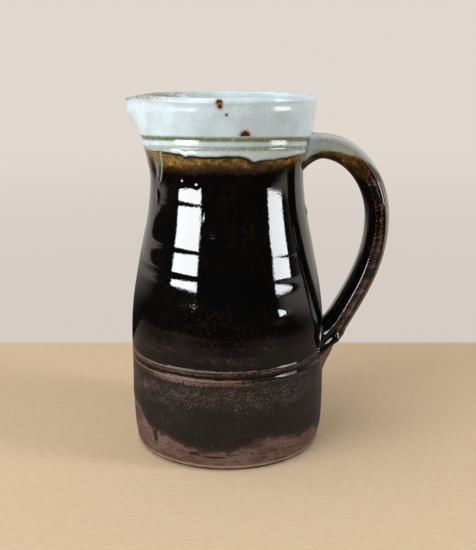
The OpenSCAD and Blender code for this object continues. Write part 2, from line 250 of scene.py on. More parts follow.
class JugStage(PropertyGroup):
    """Camera, lamps and floor."""
    camera_at: point("Camera", "Place of the camera", 0.05657, -0.53824, 0.2402)
    camera_aim: point("Aim", "Point that the camera looks at", 0.00677, 0.00071, 0.1074)
    lens: FloatProperty(name="Lens", description="Focal length in millimetres", default=57.2, min=10)
    floor_back: length("Floor back", "Where the tan floor ends behind the jug", 190)
    floor_front: length("Floor front", "Where the tan floor ends in front of the jug", 530)
    floor_side: length("Floor side", "Where the tan floor ends to each side", 560)
    floor: colour("Floor", "Floor that the jug stands on", 222, 198, 165)
    floor_dim: colour("Dim floor", "Floor as the glaze mirrors it", 128, 119, 105)
    backdrop: colour("Backdrop", "Plain surround", 225, 216, 207)
    window_glow: radiance("Window glow", "Radiance of the two soft windows", 15)
    window_far: length("Window distance", "From the jug to each soft window", 1600)
    window_low: length("Window sill", "Height of the windows' lower edge", 158)
    sill_step: length("Sill step", "How much lower the right window's sill is", 20)
    window_high: length("Window head", "Height of the windows' upper edge", 600)
    top_glow: radiance("Top glow", "Radiance of the soft light overhead", 2.2)
    room_glow: radiance("Room glow", "Radiance of the upper room", 0.4)


# Small curves

def bump(distance, width):
    """A smooth hump: 1 at no distance, close to 0 past twice the width."""
    return np.exp(-((distance / width) ** 2))


def ease(value, low, high):
    """A smooth rise from 0 at low to 1 at high, or a fall where high is below low."""
    t = np.clip((value - low) / (high - low), 0.0, 1.0)
    return t * t * (3 - 2 * t)


def turned(azimuth, degrees):
    """Turn to azimuth from a bearing in degrees, in radians from -pi to pi."""
    return (azimuth - math.radians(degrees) + math.pi) % TURN - math.pi


def hermite(start, leave, end, arrive, t):
    """Point t of the curve from start to end that leaves and arrives along the given vectors."""
    return ((2 * t ** 3 - 3 * t ** 2 + 1) * start + (t ** 3 - 2 * t ** 2 + t) * leave
            + (3 * t ** 2 - 2 * t ** 3) * end + (t ** 3 - t ** 2) * arrive)


def closed_line(azimuth, points):
    """Heights in metres of a smooth closed line through points of degrees and millimetres."""
    turns = np.radians([p[0] for p in points])
    knots = np.concatenate([turns - TURN, turns, turns + TURN])
    heights = np.tile([p[1] * MM for p in points], 3)
    slopes = np.gradient(heights, knots)
    i = np.searchsorted(knots, azimuth) - 1
    span = knots[i + 1] - knots[i]
    t = (azimuth - knots[i]) / span
    return hermite(heights[i], slopes[i] * span, heights[i + 1], slopes[i + 1] * span, t)


def steps(low, high, step):
    """Even steps from low to just below high, none longer than step."""
    return np.linspace(low, high, max(2, math.ceil((high - low) / step) + 1))[:-1]


def levels(bounds, sizes):
    """Heights from the first bound to just below the last, with a step in millimetres for each stretch."""
    stretches = zip(bounds, bounds[1:], sizes)
    return np.concatenate([steps(low, high, size * MM) for low, high, size in stretches])


# The thrown wall

class Wall:
    """The thrown wall as radii over azimuth and height, by the rule of the packed solids, in metres."""

    # Power by which the neck bends out to the collar
    neck_bend = 2.4
    # From here up, the rows of points run level
    level_z = 42 * MM
    # The thrower's marks start above the turned rings
    marks_start, marks_full = 68 * MM, 78 * MM
    # Under the neck the wall is drawn in before it stands up
    hollow_z, hollow_d, hollow_reach = 171 * MM, 0.32 * MM, 6.5 * MM
    # Turn over which the collar's lines sag
    sag_turn = 0.75
    # Bearings in degrees where the thrower's marks are strongest and where they are at mid height
    strong_side, level_side = -112, -80

    def __init__(self, scene):
        self.body = body = scene.jug_body
        self.collar = collar = scene.jug_collar
        self.glaze = scene.jug_glaze
        self.azimuth = np.linspace(-math.pi, math.pi, body.columns, endpoint=False)[None, :]
        self.foot_r = body.belly_r - body.foot_draw
        self.neck_r = body.belly_r - body.neck_draw
        self.collar_r = self.neck_r + collar.flare
        self.rim_r = self.collar_r + collar.rim_flare
        self.rim_half = collar.rim_wall / 2
        self.rim_z = body.height - self.rim_half
        self.collar_z = body.height - collar.height
        self.neck_z = self.collar_z - body.neck_drop
        self.amber_z = self.collar_z - self.glaze.amber_h
        self.lean_low = body.belly_z + body.belly_round
        self.lean_high = self.neck_z - body.neck_round
        rounds = (body.belly_round + body.neck_round) / 2
        self.lean = body.neck_draw / (self.lean_high - self.lean_low + rounds)
        self.rings = (body.ring_z, body.ring_z + body.ring_gap)
        self.lines = tuple(self.collar_z + collar.line_z + gap for gap in (0, collar.line_gap))
        self.spout_turn = math.acos(self.rim_r / (self.rim_r + collar.spout_reach))
        self.round_z = body.base + body.floor_round
        self.floor_r = self.inside_r(self.round_z) - body.floor_round

    def near(self, bearing, half_w, radius=1):
        """A hump round the wall at a bearing, half_w in radians, or in metres where a radius is given."""
        return bump(turned(self.azimuth, bearing) * radius, half_w)

    def leaned(self, z):
        """How far the wall has leaned in from the belly."""
        body = self.body
        rounding = self.lean * (z - body.belly_z) ** 2 / body.belly_round / 2
        even = self.lean * (z - self.lean_low + body.belly_round / 2)
        settling = body.neck_draw - self.lean * (self.neck_z - z) ** 2 / body.neck_round / 2
        return np.select([z <= body.belly_z, z <= self.lean_low, z <= self.lean_high],
                         [0 * z, rounding, even], settling)

    def smooth_r(self, z):
        """Outside radius of the clay without its incised rings."""
        body, collar = self.body, self.collar
        inset = body.foot_draw * np.clip(1 - z / body.foot_rise, 0, None) ** 3
        rise = np.clip((z - self.neck_z) / body.neck_drop, 0, None)
        neck = self.neck_r + collar.flare * rise ** self.neck_bend
        above = self.collar_r + collar.rim_flare * (z - self.collar_z) / collar.height
        return np.select([z <= self.neck_z, z <= self.collar_z],
                         [body.belly_r - inset - self.leaned(z), neck], above)

    @staticmethod
    def cut(z, centre, width):
        """Share of its depth that a ring cut at centre has at height z."""
        return np.where(abs(z - centre) < width / 2, np.cos(math.pi * (z - centre) / width) ** 2, 0)

    def ring_cut(self, z):
        """Share of their depth that the belly's rings have at height z."""
        return sum(self.cut(z, ring, self.body.ring_w) for ring in self.rings)

    def line_cut(self, z):
        """Share of their depth that the collar's lines have at height z."""
        return sum(self.cut(z, line, self.collar.line_w) for line in self.lines)

    def sagged(self, line):
        """Height of an incised line round the collar, as the glaze shows it."""
        sag = self.near(SPOUT, self.sag_turn) + bump(self.azimuth, self.sag_turn)
        return line - self.collar.line_sag * sag

    def clay_r(self, azimuth, z):
        """Outside radius of the clay with its incised rings and the marks of the hand."""
        body = self.body
        incised = body.ring_d * self.ring_cut(z) + self.collar.line_d * self.line_cut(z)
        slow = np.sin(2 * azimuth + z / (31 * MM)) + np.sin(3 * azimuth - z / (17 * MM) + 1.3)
        ripple = np.sin(z / (2.3 * MM) + azimuth) + np.sin(5 * azimuth + z / (4.1 * MM))
        strayed = body.uneven * (slow / 4 - 0.5) + body.uneven / 24 * ripple
        strayed = strayed * ease(z, 0, 20 * MM) * ease(z, self.collar_z + 10 * MM, self.collar_z)
        marks = self.throwing_marks(azimuth, z)
        thrown = (marks + strayed) * ease(z, self.marks_start, self.marks_full)
        return self.smooth_r(z) - incised + thrown + self.lumps(azimuth, z)

    def throwing_marks(self, azimuth, z):
        """Slanting finger marks, steep below and gentle above, strongest towards the front left."""
        body = self.body
        across = turned(azimuth, self.strong_side)
        strength = 0.2 + 0.8 * np.where(across < 0, bump(across, 0.55), bump(across, 1.2))
        slant = body.mark_slant * np.sin(turned(azimuth, self.level_side))
        total = -self.hollow_d * bump(z - self.hollow_z, self.hollow_reach)
        for middle, rise, low_side in THROWING_MARKS:
            above = z - middle * MM + slant
            reach = np.where(above > 0, body.mark_top, low_side * MM)
            total = total + rise * MM * bump(above, reach)
        return total * strength

    def lumps(self, azimuth, z):
        """The thumbed lump under the spout, the drip under the handle and other small strays."""
        total = 0
        for bearing, height, half_w, half_h, rise, lean in LUMPS:
            up = z - height * MM
            across = turned(azimuth, bearing) * self.neck_r - lean * up
            total = total + rise * MM * bump(across, half_w * MM) * bump(up, half_h * MM)
        return total

    def wall_t(self, z):
        """Thickness of the clay wall, which thins towards the rim."""
        thinning = np.clip((z - self.collar_z) / self.collar.height, 0, 1)
        return self.body.wall + (self.collar.rim_wall - self.body.wall) * thinning

    def inside_r(self, z):
        """Inside radius of the clay."""
        return self.smooth_r(z) - self.wall_t(z)

    def lip(self):
        """How far the lip stands out of the rim's circle, round the jug."""
        off = abs(turned(self.azimuth, SPOUT))
        half = self.collar.spout_round / 2
        flank = 1 / np.cos(np.clip(self.spout_turn - np.sqrt(off ** 2 + half ** 2), 0, None)) - 1
        tip = 1 / math.cos(self.spout_turn - half) - 1
        return self.collar.spout_reach * flank / tip

    def swell(self, z):
        """Share of the lip at height z."""
        start = self.collar_z + self.collar.spout_start
        return np.sin(math.pi / 2 * np.clip((z - start) / (self.body.height - start), 0, 1))

    def points(self, radius, z):
        """Points of the wall at these radii and heights, with the spout pulled out of them."""
        lip = self.lip()
        waver_d = 0.18 * MM
        out = radius + lip * self.swell(z)
        dip = self.collar.spout_dip * lip / self.collar.spout_reach * self.swell(z) ** 2
        waver = waver_d * (1 + np.sin(3 * self.azimuth + 0.7)) * self.swell(z) ** 4
        height = z - dip - waver + 0 * self.azimuth
        return np.stack([out * np.cos(self.azimuth), out * np.sin(self.azimuth), height], axis=-1)

    def dark_edge(self):
        """Height at which the dark glaze ends above the foot, round the jug."""
        ragged = 0.35 * MM * np.sin(17 * self.azimuth + 2) + 0.25 * MM * np.sin(41 * self.azimuth)
        drip_bearing, drip_d, drip_w = -131, 9 * MM, 1.7 * MM
        drip = drip_d * self.near(drip_bearing, drip_w, self.foot_r)
        return closed_line(self.azimuth, DARK_EDGE) + ragged - drip

    def pale_edge(self):
        """Height at which the pale glaze ends outside, round the jug."""
        ragged = 0.2 * MM * np.sin(13 * self.azimuth + 1) + 0.12 * MM * np.sin(37 * self.azimuth)
        drips = sum(depth * MM * self.near(bearing, half_w * MM, self.collar_r)
                    for bearing, depth, half_w in PALE_DRIPS)
        return self.collar_z + closed_line(self.azimuth, PALE_EDGE) + ragged - drips

    def smoke(self, z):
        """How strongly the clay is stained near the foot."""
        stains = [self.near(bearing, half_w * MM, self.foot_r) * bump(z - height * MM, half_h * MM)
                  for bearing, height, half_w, half_h in SMOKE]
        return np.max(stains, axis=0)


# Meshes

def quads(rows, columns, looped=False):
    """Corners of the faces of a grid whose columns close round, and its rows too where it is looped."""
    last = rows if looped else rows - 1
    row, column = np.meshgrid(np.arange(last), np.arange(columns), indexing="ij")
    low, high = row * columns, (row + 1) % rows * columns
    beside = (column + 1) % columns
    corners = [low + column, low + beside, high + beside, high + column]
    return np.stack(corners, axis=-1).reshape(-1, 4)


def fanned(grid, first_z, last_z):
    """Points and faces of a grid whose first and last rows are closed by fans to points on the axis."""
    rows, columns = grid.shape[:2]
    count = rows * columns
    last_row = count - columns
    points = np.concatenate([grid.reshape(-1, 3), [[0, 0, first_z], [0, 0, last_z]]])
    faces = list(quads(rows, columns))
    for column in range(columns):
        beside = (column + 1) % columns
        faces.append((count, beside, column))
        faces.append((count + 1, last_row + column, last_row + beside))
    return points, faces


def grid_normals(points):
    """Unit normals of a grid whose columns close round."""
    along = np.gradient(points, axis=0)
    across = np.roll(points, -1, axis=1) - np.roll(points, 1, axis=1)
    normals = np.cross(across, along)
    return normals / np.maximum(np.linalg.norm(normals, axis=-1, keepdims=True), 1e-12)


def sparse_rows(rows, step):
    """Every so many rows of a grid, and its last: enough for a hidden side."""
    return np.unique(np.append(np.arange(0, rows, step), rows - 1))


def parted(masks, part):
    """The rows of each mask that belong to one piece."""
    return {mask: values[part] for mask, values in masks.items()}


def make_piece(name, points, faces, material, nodes, masks=None, normals=None):
    """A smooth mesh that rides on the jug, stands for packed nodes and carries masks for its material."""
    mesh = bpy.data.meshes.new(name)
    mesh.from_pydata(points.reshape(-1, 3).tolist(), [], [list(map(int, face)) for face in faces])
    mesh.polygons.foreach_set("use_smooth", [True] * len(mesh.polygons))
    for mask, values in (masks or {}).items():
        attribute = mesh.attributes.new(mask, "FLOAT", "POINT")
        attribute.data.foreach_set("value", np.ascontiguousarray(values, np.float32).ravel())
    if normals is not None:
        mesh.normals_split_custom_set_from_vertices(normals.reshape(-1, 3).tolist())
    mesh.materials.append(material)
    piece = bpy.data.objects.new(name, mesh)
    bpy.context.scene.collection.objects.link(piece)
    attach(piece, BODY)
    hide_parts(*nodes)


def make_coat(name, shown, hidden, normals, material, nodes, masks):
    """A closed coat between the grid that shows and the one sunk in the clay, both from bottom to top."""
    back = sparse_rows(len(hidden), 6)[::-1]
    rings = np.concatenate([shown, hidden[back]])
    facing = np.concatenate([normals, -normals[back]])
    spread = {mask: np.concatenate([values, values[back]]) for mask, values in masks.items()}
    make_piece(name, rings, quads(*rings.shape[:2], looped=True), material, nodes, spread, facing)


def make_tube(name, points, normals, material, nodes, masks):
    """A closed length of the handle, from its first section to its last."""
    rows, columns = points.shape[:2]
    faces = [face[::-1] for face in quads(rows, columns)]
    faces.append(list(range(columns)))
    faces.append(list(range((rows - 1) * columns, rows * columns))[::-1])
    make_piece(name, points, faces, material, nodes, masks, normals)


# Clay body

def make_clay_body(scene):
    """The pot as it came off the wheel, bare at the foot and hidden by glaze above."""
    wall = Wall(scene)
    body, rim_half = wall.body, wall.rim_half
    rings = []

    # The wire that cut the pot off the wheel left shallow arcs
    arc_d, arc_gap, arc_turn = 0.12 * MM, 0.75 * MM, 0.5
    for share in np.linspace(0.04, 1, 26):
        radius = share * (wall.foot_r - body.foot_bevel)
        drawn = arc_d * (1 + np.sin(radius * np.cos(wall.azimuth - arc_turn) / arc_gap))
        rings.append((radius, drawn * ease(share, 1, 0.94)))
    for share in (0.35, 0.7):
        z = share * body.foot_bevel
        rings.append((wall.clay_r(wall.azimuth, z) - body.foot_bevel * (1 - share) ** 2, z))

    bounds = (body.foot_bevel, wall.level_z, wall.rings[0] - body.ring_w, wall.rings[1] + body.ring_w,
              wall.collar_z, wall.rim_z)
    for z in levels(bounds, (0.9, 2.5, 0.7, 2.2, 0.7)):
        rings.append((wall.clay_r(wall.azimuth, z), z))
    for lean in np.linspace(0, math.pi, 7):
        radius = wall.rim_r - rim_half + rim_half * math.cos(lean)
        rings.append((radius, wall.rim_z + rim_half * math.sin(lean)))

    for z in np.linspace(wall.rim_z, wall.round_z, 60)[1:]:
        rings.append((wall.inside_r(z), z))
    for lean in np.linspace(0, math.pi / 2, 8)[1:]:
        radius = wall.inside_r(wall.round_z) - body.floor_round * (1 - math.cos(lean))
        rings.append((radius, wall.round_z - body.floor_round * math.sin(lean)))
    for share in (0.7, 0.4, 0.04):
        rings.append((wall.floor_r * share, body.base))

    flat = 0 * wall.azimuth
    grid = np.concatenate([wall.points(radius + flat, z + flat) for radius, z in rings])
    points, faces = fanned(grid, arc_d, body.base)
    smoke = np.append(wall.smoke(grid[..., 2]), [0, 0])
    make_piece("clay_pot", points, faces, clay_material(scene), ["thrown_body"], {"smoke": smoke})


# Dark outer glaze

def make_outer_glaze(scene):
    """The dark coat on the belly and the amber band above it, cut from one continuous surface."""
    wall = Wall(scene)
    body, glaze = wall.body, wall.glaze
    edge = wall.dark_edge()
    # Below its edge the coat dives under the clay, and its rows follow the edge
    hem = 5 * MM
    start = np.clip(edge - hem, 3.5 * MM, None)
    shares = np.linspace(0, 1, 40)[:-1, None]
    top_z = wall.collar_z + 3.4 * MM
    bounds = (wall.level_z, wall.rings[0] - 0.8 * body.ring_w, wall.rings[1] + 0.6 * body.ring_w,
              wall.amber_z, top_z)
    level_rows = np.append(levels(bounds, (0.9, 0.2, 0.82, 0.6)), top_z)
    heights = np.concatenate([start + (wall.level_z - start) * shares, level_rows[:, None] + 0 * edge])
    above = heights - edge

    tuck_d, bead_d, bead_z, run_d = 0.12 * MM, 0.1 * MM, 2.5 * MM, 0.32 * MM
    clay = wall.clay_r(wall.azimuth, heights)
    thickness = glaze.dark_t * ease(above, -hem, 3 * MM) - tuck_d * ease(above, -2 * MM, -hem)
    gathered = bead_d * bump(above - bead_z, 2 * MM)
    runs = neck_runs(wall, heights)
    coated = clay + thickness + gathered + ring_fill(wall, heights) + run_d * runs
    shown = wall.points(coated, heights)
    hidden = wall.points(clay - glaze.sunk, heights)
    normals = grid_normals(shown)
    dry_top, dry_full = 57 * MM, 54 * MM
    masks = {
        "above_edge": above / MM,
        "amber": amber_share(wall, heights),
        "broken": ring_breaks(wall, heights),
        "dry": ease(heights, dry_top, dry_full),
        "specked": belly_specks(wall, heights),
        "smoke": wall.smoke(heights),
        "dip": runs,
        "veil": 0.8 + 0.25 * ease(heights, wall.collar_z, wall.amber_z),
    }
    split = int(np.argmin(abs(heights[:, 0] - wall.amber_z)))
    material = iron_material(scene)
    coats = (("belly_coat", slice(0, split + 1), "belly_glaze", "dark_glaze"),
             ("amber_coat", slice(split, None), "amber_glaze_band", "amber_glaze"))
    for name, part, node, slot in coats:
        make_coat(name, shown[part], hidden[part], normals[part], material, [node],
                  parted(masks, part))


def neck_runs(wall, heights):
    """Share of each point that a run of pale glaze covers, tapering as it goes down."""
    top_z = wall.collar_z + 3 * MM
    total = 0
    for bearing, drift, width, low, cover in NECK_RUNS:
        down = np.clip((top_z - heights) / (top_z - low * MM), 0, 1)
        middle = turned(wall.azimuth, bearing) - math.radians(drift) * down
        half_w = width * MM * (1 - 0.65 * down)
        run = cover * bump(middle * wall.neck_r, half_w) * ease(heights, (low - 2) * MM, (low + 3) * MM)
        total = np.maximum(total, run)
    return total


def ring_fill(wall, heights):
    """Glaze that fills the incised rings and leaves a bold line at the lower one and a finer one above."""
    body = wall.body
    widths, depths = (2.3 * MM, 1.5 * MM), (0.66 * MM, 0.42 * MM)
    fill = 0
    for ring, width, depth in zip(wall.rings, widths, depths):
        line = depth * wall.cut(heights, ring, width)
        fill = fill + body.ring_d * wall.cut(heights, ring, body.ring_w) - line
    return fill


def amber_share(wall, heights):
    """How far the pale glaze has turned the dark to amber: a band under the collar, cleared just under the
    pale edge as painted shadow, and one low drop.
    """
    # Just under the pale edge, most at the near side, the amber is taken away to leave a dark line: painted
    # shadow of the pale glaze's rolled edge
    pale_edge_shadow = bump(heights - wall.pale_edge() + 0.3 * MM, 0.8 * MM) * wall.near(NEAR_SIDE, 0.7)
    golden = 0.84 + 0.34 * wall.near(-130, 0.55) + 0.08 * wall.near(-48, 0.4)
    band = ease(heights, wall.amber_z - 4 * MM, wall.amber_z + 8 * MM) * golden * (1 - 0.95 * pale_edge_shadow)
    drop_bearing, drop_z, drop_w, drop_h = -131.5, 20 * MM, 1.3 * MM, 2.6 * MM
    drop = wall.near(drop_bearing, drop_w, wall.foot_r) * bump(heights - drop_z, drop_h)
    return np.maximum(band, 1.15 * drop)


def ring_breaks(wall, heights):
    """How thin the glaze has broken on the edges below each incised ring."""
    width = wall.body.ring_w
    off = turned(wall.azimuth, WORN_SIDE)
    lower_edge, upper_edge = wall.rings[0] - 0.95 * width, wall.rings[1] - 0.86 * width
    worn = 0.4 + 0.16 * np.cos(off)
    bands = bump(heights - lower_edge, 1.9 * MM) + bump(heights - upper_edge, 1.3 * MM)
    left = ease(off, 1.15, 0.75) * ease(off, -1.6, -1.2)
    lower_flank = bump(heights - wall.rings[0] + 0.4 * width, 0.8 * MM)
    upper_flank = bump(heights - wall.rings[1] + 0.3 * width, 0.7 * MM)
    return np.maximum(worn * bands, 0.9 * ((0.4 + 0.6 * left) * upper_flank + left * lower_flank))


def belly_specks(wall, heights):
    """How thickly tan and rust specks are strewn over the dark glaze."""
    low_band, high_band = 48.5 * MM, 73 * MM
    low = 0.95 * bump(heights - low_band, 7.5 * MM) + 0.25 * ease(heights, 46 * MM, 40 * MM)
    left = 0.5 + 0.5 * np.cos(turned(wall.azimuth, WORN_SIDE))
    return low * (0.7 + 0.3 * left) + 0.55 * left * bump(heights - high_band, 7 * MM)


# Pale collar glaze

def make_collar_glaze(scene):
    """The pale coat of the collar: up its outside, over the rim and down the inside of the neck."""
    wall = Wall(scene)
    collar, glaze, rim_z, rim_half = wall.collar, wall.glaze, wall.rim_z, wall.rim_half
    edge = wall.pale_edge()
    inner_edge = wall.collar_z + closed_line(wall.azimuth, INNER_EDGE)
    flat = 0 * edge

    join_z, lines_top = wall.collar_z + 3.2 * MM, wall.lines[1] + collar.line_w
    shares = np.linspace(0, 1, 15)[:-1, None] ** 1.3
    level_rows = levels((join_z, lines_top, rim_z), (0.35, 0.8))
    heights = np.concatenate([edge + (join_z - edge) * shares, level_rows[:, None] + flat])
    above = heights - edge
    # The rim was rolled back to upright, so its outer face catches the light
    rolled = 0.55 * MM
    thickness = collar_thickness(wall, heights, above)
    thickness = thickness - rolled * ease(heights, rim_z - 7 * MM, rim_z - 1 * MM)
    outside = wall.points(wall.clay_r(wall.azimuth, heights) + thickness, heights)

    leans = np.linspace(0, math.pi, 15)[:, None] + flat
    rim_middle, rim_radius = wall.rim_r - rim_half, rim_half + glaze.pale_t
    rim_out = rim_radius * np.cos(leans) - rolled * (1 + np.cos(leans)) / 2
    rim = wall.points(rim_middle + rim_out, rim_z + rim_radius * np.sin(leans))

    inner_heights = rim_z + (inner_edge - rim_z) * np.linspace(0, 1, 36)[1:, None]
    over = np.clip((inner_heights - inner_edge) / (1.5 * MM), 0, 1)
    inner_t = 0.2 * MM + (glaze.pale_t + 0.35 * MM) * np.sqrt(1 - (1 - over) ** 2)
    inner_t = inner_t + (glaze.pale_t - inner_t) * ease(inner_heights, rim_z - 8 * MM, rim_z)
    inside = wall.points(wall.inside_r(inner_heights) - inner_t, inner_heights)

    back_in = inner_edge + (rim_z - inner_edge) * np.linspace(0, 1, 10)[:-1, None]
    hidden_in = wall.points(wall.inside_r(back_in) + glaze.sunk, back_in)
    back_leans = np.linspace(0, math.pi, 7)[::-1, None] + flat
    sunk_rim = rim_half - glaze.sunk
    sunk_out, sunk_up = sunk_rim * np.cos(back_leans), sunk_rim * np.sin(back_leans)
    hidden_rim = wall.points(rim_middle + sunk_out, rim_z + sunk_up)
    back_out = rim_z + (edge - rim_z) * np.linspace(0, 1, 24)[1:, None]
    hidden_out = wall.points(wall.clay_r(wall.azimuth, back_out) - glaze.sunk, back_out)

    shown = np.concatenate([outside, rim, inside])
    hidden = np.concatenate([hidden_in, hidden_rim, hidden_out])
    rings = np.concatenate([shown, hidden])
    normals = np.concatenate([grid_normals(shown), grid_normals(hidden)])
    rows, columns = rings.shape[:2]

    masks = {mask: np.zeros((rows, columns)) for mask in ("pooled", "thin", "veil")}
    outer_rows = len(heights)
    masks["pooled"][:outer_rows] = collar_pools(wall, heights, above)
    masks["thin"][:outer_rows] = 0.6 * bump(heights - wall.sagged(wall.lines[0]) + 1.7 * MM, 0.42 * MM)
    near_spout = ease(abs(turned(wall.azimuth, SPOUT)), math.radians(80), math.radians(25))
    masks["thin"][outer_rows + 1:outer_rows + len(leans) + 2] = 0.18 + 0.44 * near_spout
    # The collar is painted greyer over its middle and right, away from the spout: painted shade on the side
    # turned from the left window
    masks["veil"][:outer_rows] = 0.32 * ease(np.cos(wall.azimuth), -0.8, -0.2)
    make_piece("collar_coat", rings, quads(rows, columns, looped=True), ash_material(scene),
               ["collar_glaze"], masks, normals)


def collar_thickness(wall, heights, above):
    """Thickness of the pale coat outside: round and beaded at its lower edge, even again at the rim."""
    collar, glaze = wall.collar, wall.glaze
    edge_round, bead_d, bead_z = 1.1 * MM, 0.45 * MM, 1.3 * MM
    roll = np.sqrt(np.clip(1 - (1 - np.clip(above / edge_round, 0, 1)) ** 2, 0, 1))
    bead = bead_d * bump(above - bead_z, edge_round)
    filled = collar.line_d * wall.line_cut(heights) - collar_lines(wall, heights)
    sagging = 0.12 * MM * ease(heights, wall.rim_z, wall.lines[1])
    flow = sagging + 0.05 * MM * np.sin(9 * wall.azimuth + heights / (6 * MM))
    offset = 0.25 * MM + (glaze.pale_t - 0.15 * MM + flow) * roll + bead + filled
    return offset + (glaze.pale_t - offset) * ease(heights, wall.rim_z - 6 * MM, wall.rim_z)


def collar_lines(wall, heights):
    """Depth of the lines left in the pale glaze: a step with a long lower slope and a fine line below it."""
    below = wall.sagged(wall.lines[1]) - heights
    step_d, slope_h, line_d, line_w = 0.72 * MM, 3.2 * MM, 0.3 * MM, 1.5 * MM
    step = step_d * ease(below, -1.8 * MM, -0.1 * MM) * np.clip(1 - below / slope_h, 0, 1)
    return step + line_d * wall.cut(heights, wall.sagged(wall.lines[0]) - 0.4 * MM, line_w)


def collar_pools(wall, heights, above):
    """How deep the pale glaze has pooled in the incised lines and between them."""
    over = heights - wall.sagged(wall.lines[1])
    upper = 0.95 * np.where(over > 0, bump(over, 2.0 * MM), bump(over, 1.1 * MM))
    lower = 0.4 * bump(heights - wall.sagged(wall.lines[0]) + 0.8 * MM, 1.2 * MM)
    wash = (0.16 + 0.26 * wall.near(-45, 0.8)) * ease(over, 0.5 * MM, -0.5 * MM)
    hem = 0.3 * bump(above - 0.1 * MM, 0.6 * MM)
    return np.clip(upper + lower + wash + hem, 0, 1)


# Liner glaze

def make_liner_glaze(scene):
    """The dark glaze poured round the inside, over the finger spirals of the thrower."""
    wall = Wall(scene)
    body, glaze = wall.body, wall.glaze
    top_z = wall.collar_z + 3 * MM
    # Points of the inside, from the middle of the floor to the neck: radius, height, lean
    profile = [(wall.floor_r * share, body.base, 0.0) for share in np.linspace(0.03, 1, 22)]
    for lean in np.linspace(0, math.pi / 2, 10)[1:-1]:
        radius = wall.floor_r + body.floor_round * math.sin(lean)
        profile.append((radius, wall.round_z - body.floor_round * math.cos(lean), lean))
    for z in np.append(steps(wall.round_z, top_z, 1.5 * MM), top_z):
        profile.append((float(wall.inside_r(np.array(z))), z, math.pi / 2))
    radius, height, lean = (np.array(values)[:, None] for values in zip(*profile))

    pitch, groove_d = 13 * MM, 0.22 * MM
    travelled = np.where(lean > 1, height, 0.6 * radius)
    fade = ease(radius, 2 * MM, 12 * MM) * ease(height, top_z, top_z - 10 * MM)
    spiral = groove_d * np.sin(TURN * travelled / pitch + wall.azimuth) * fade
    shown_t = glaze.dark_t + 0.1 * MM + spiral
    hidden_t = -glaze.sunk + 0 * spiral
    normal_r, normal_z = -np.sin(lean), np.cos(lean)
    shown, hidden = (wall.points(radius + normal_r * thickness, height + normal_z * thickness)
                     for thickness in (shown_t, hidden_t))
    rings = np.concatenate([hidden[sparse_rows(len(hidden), 4)], shown[::-1]])
    points, faces = fanned(rings, body.base - glaze.sunk, body.base + glaze.dark_t)
    make_piece("liner_coat", points, faces, liner_material(scene), ["liner_glaze"])


# Handle

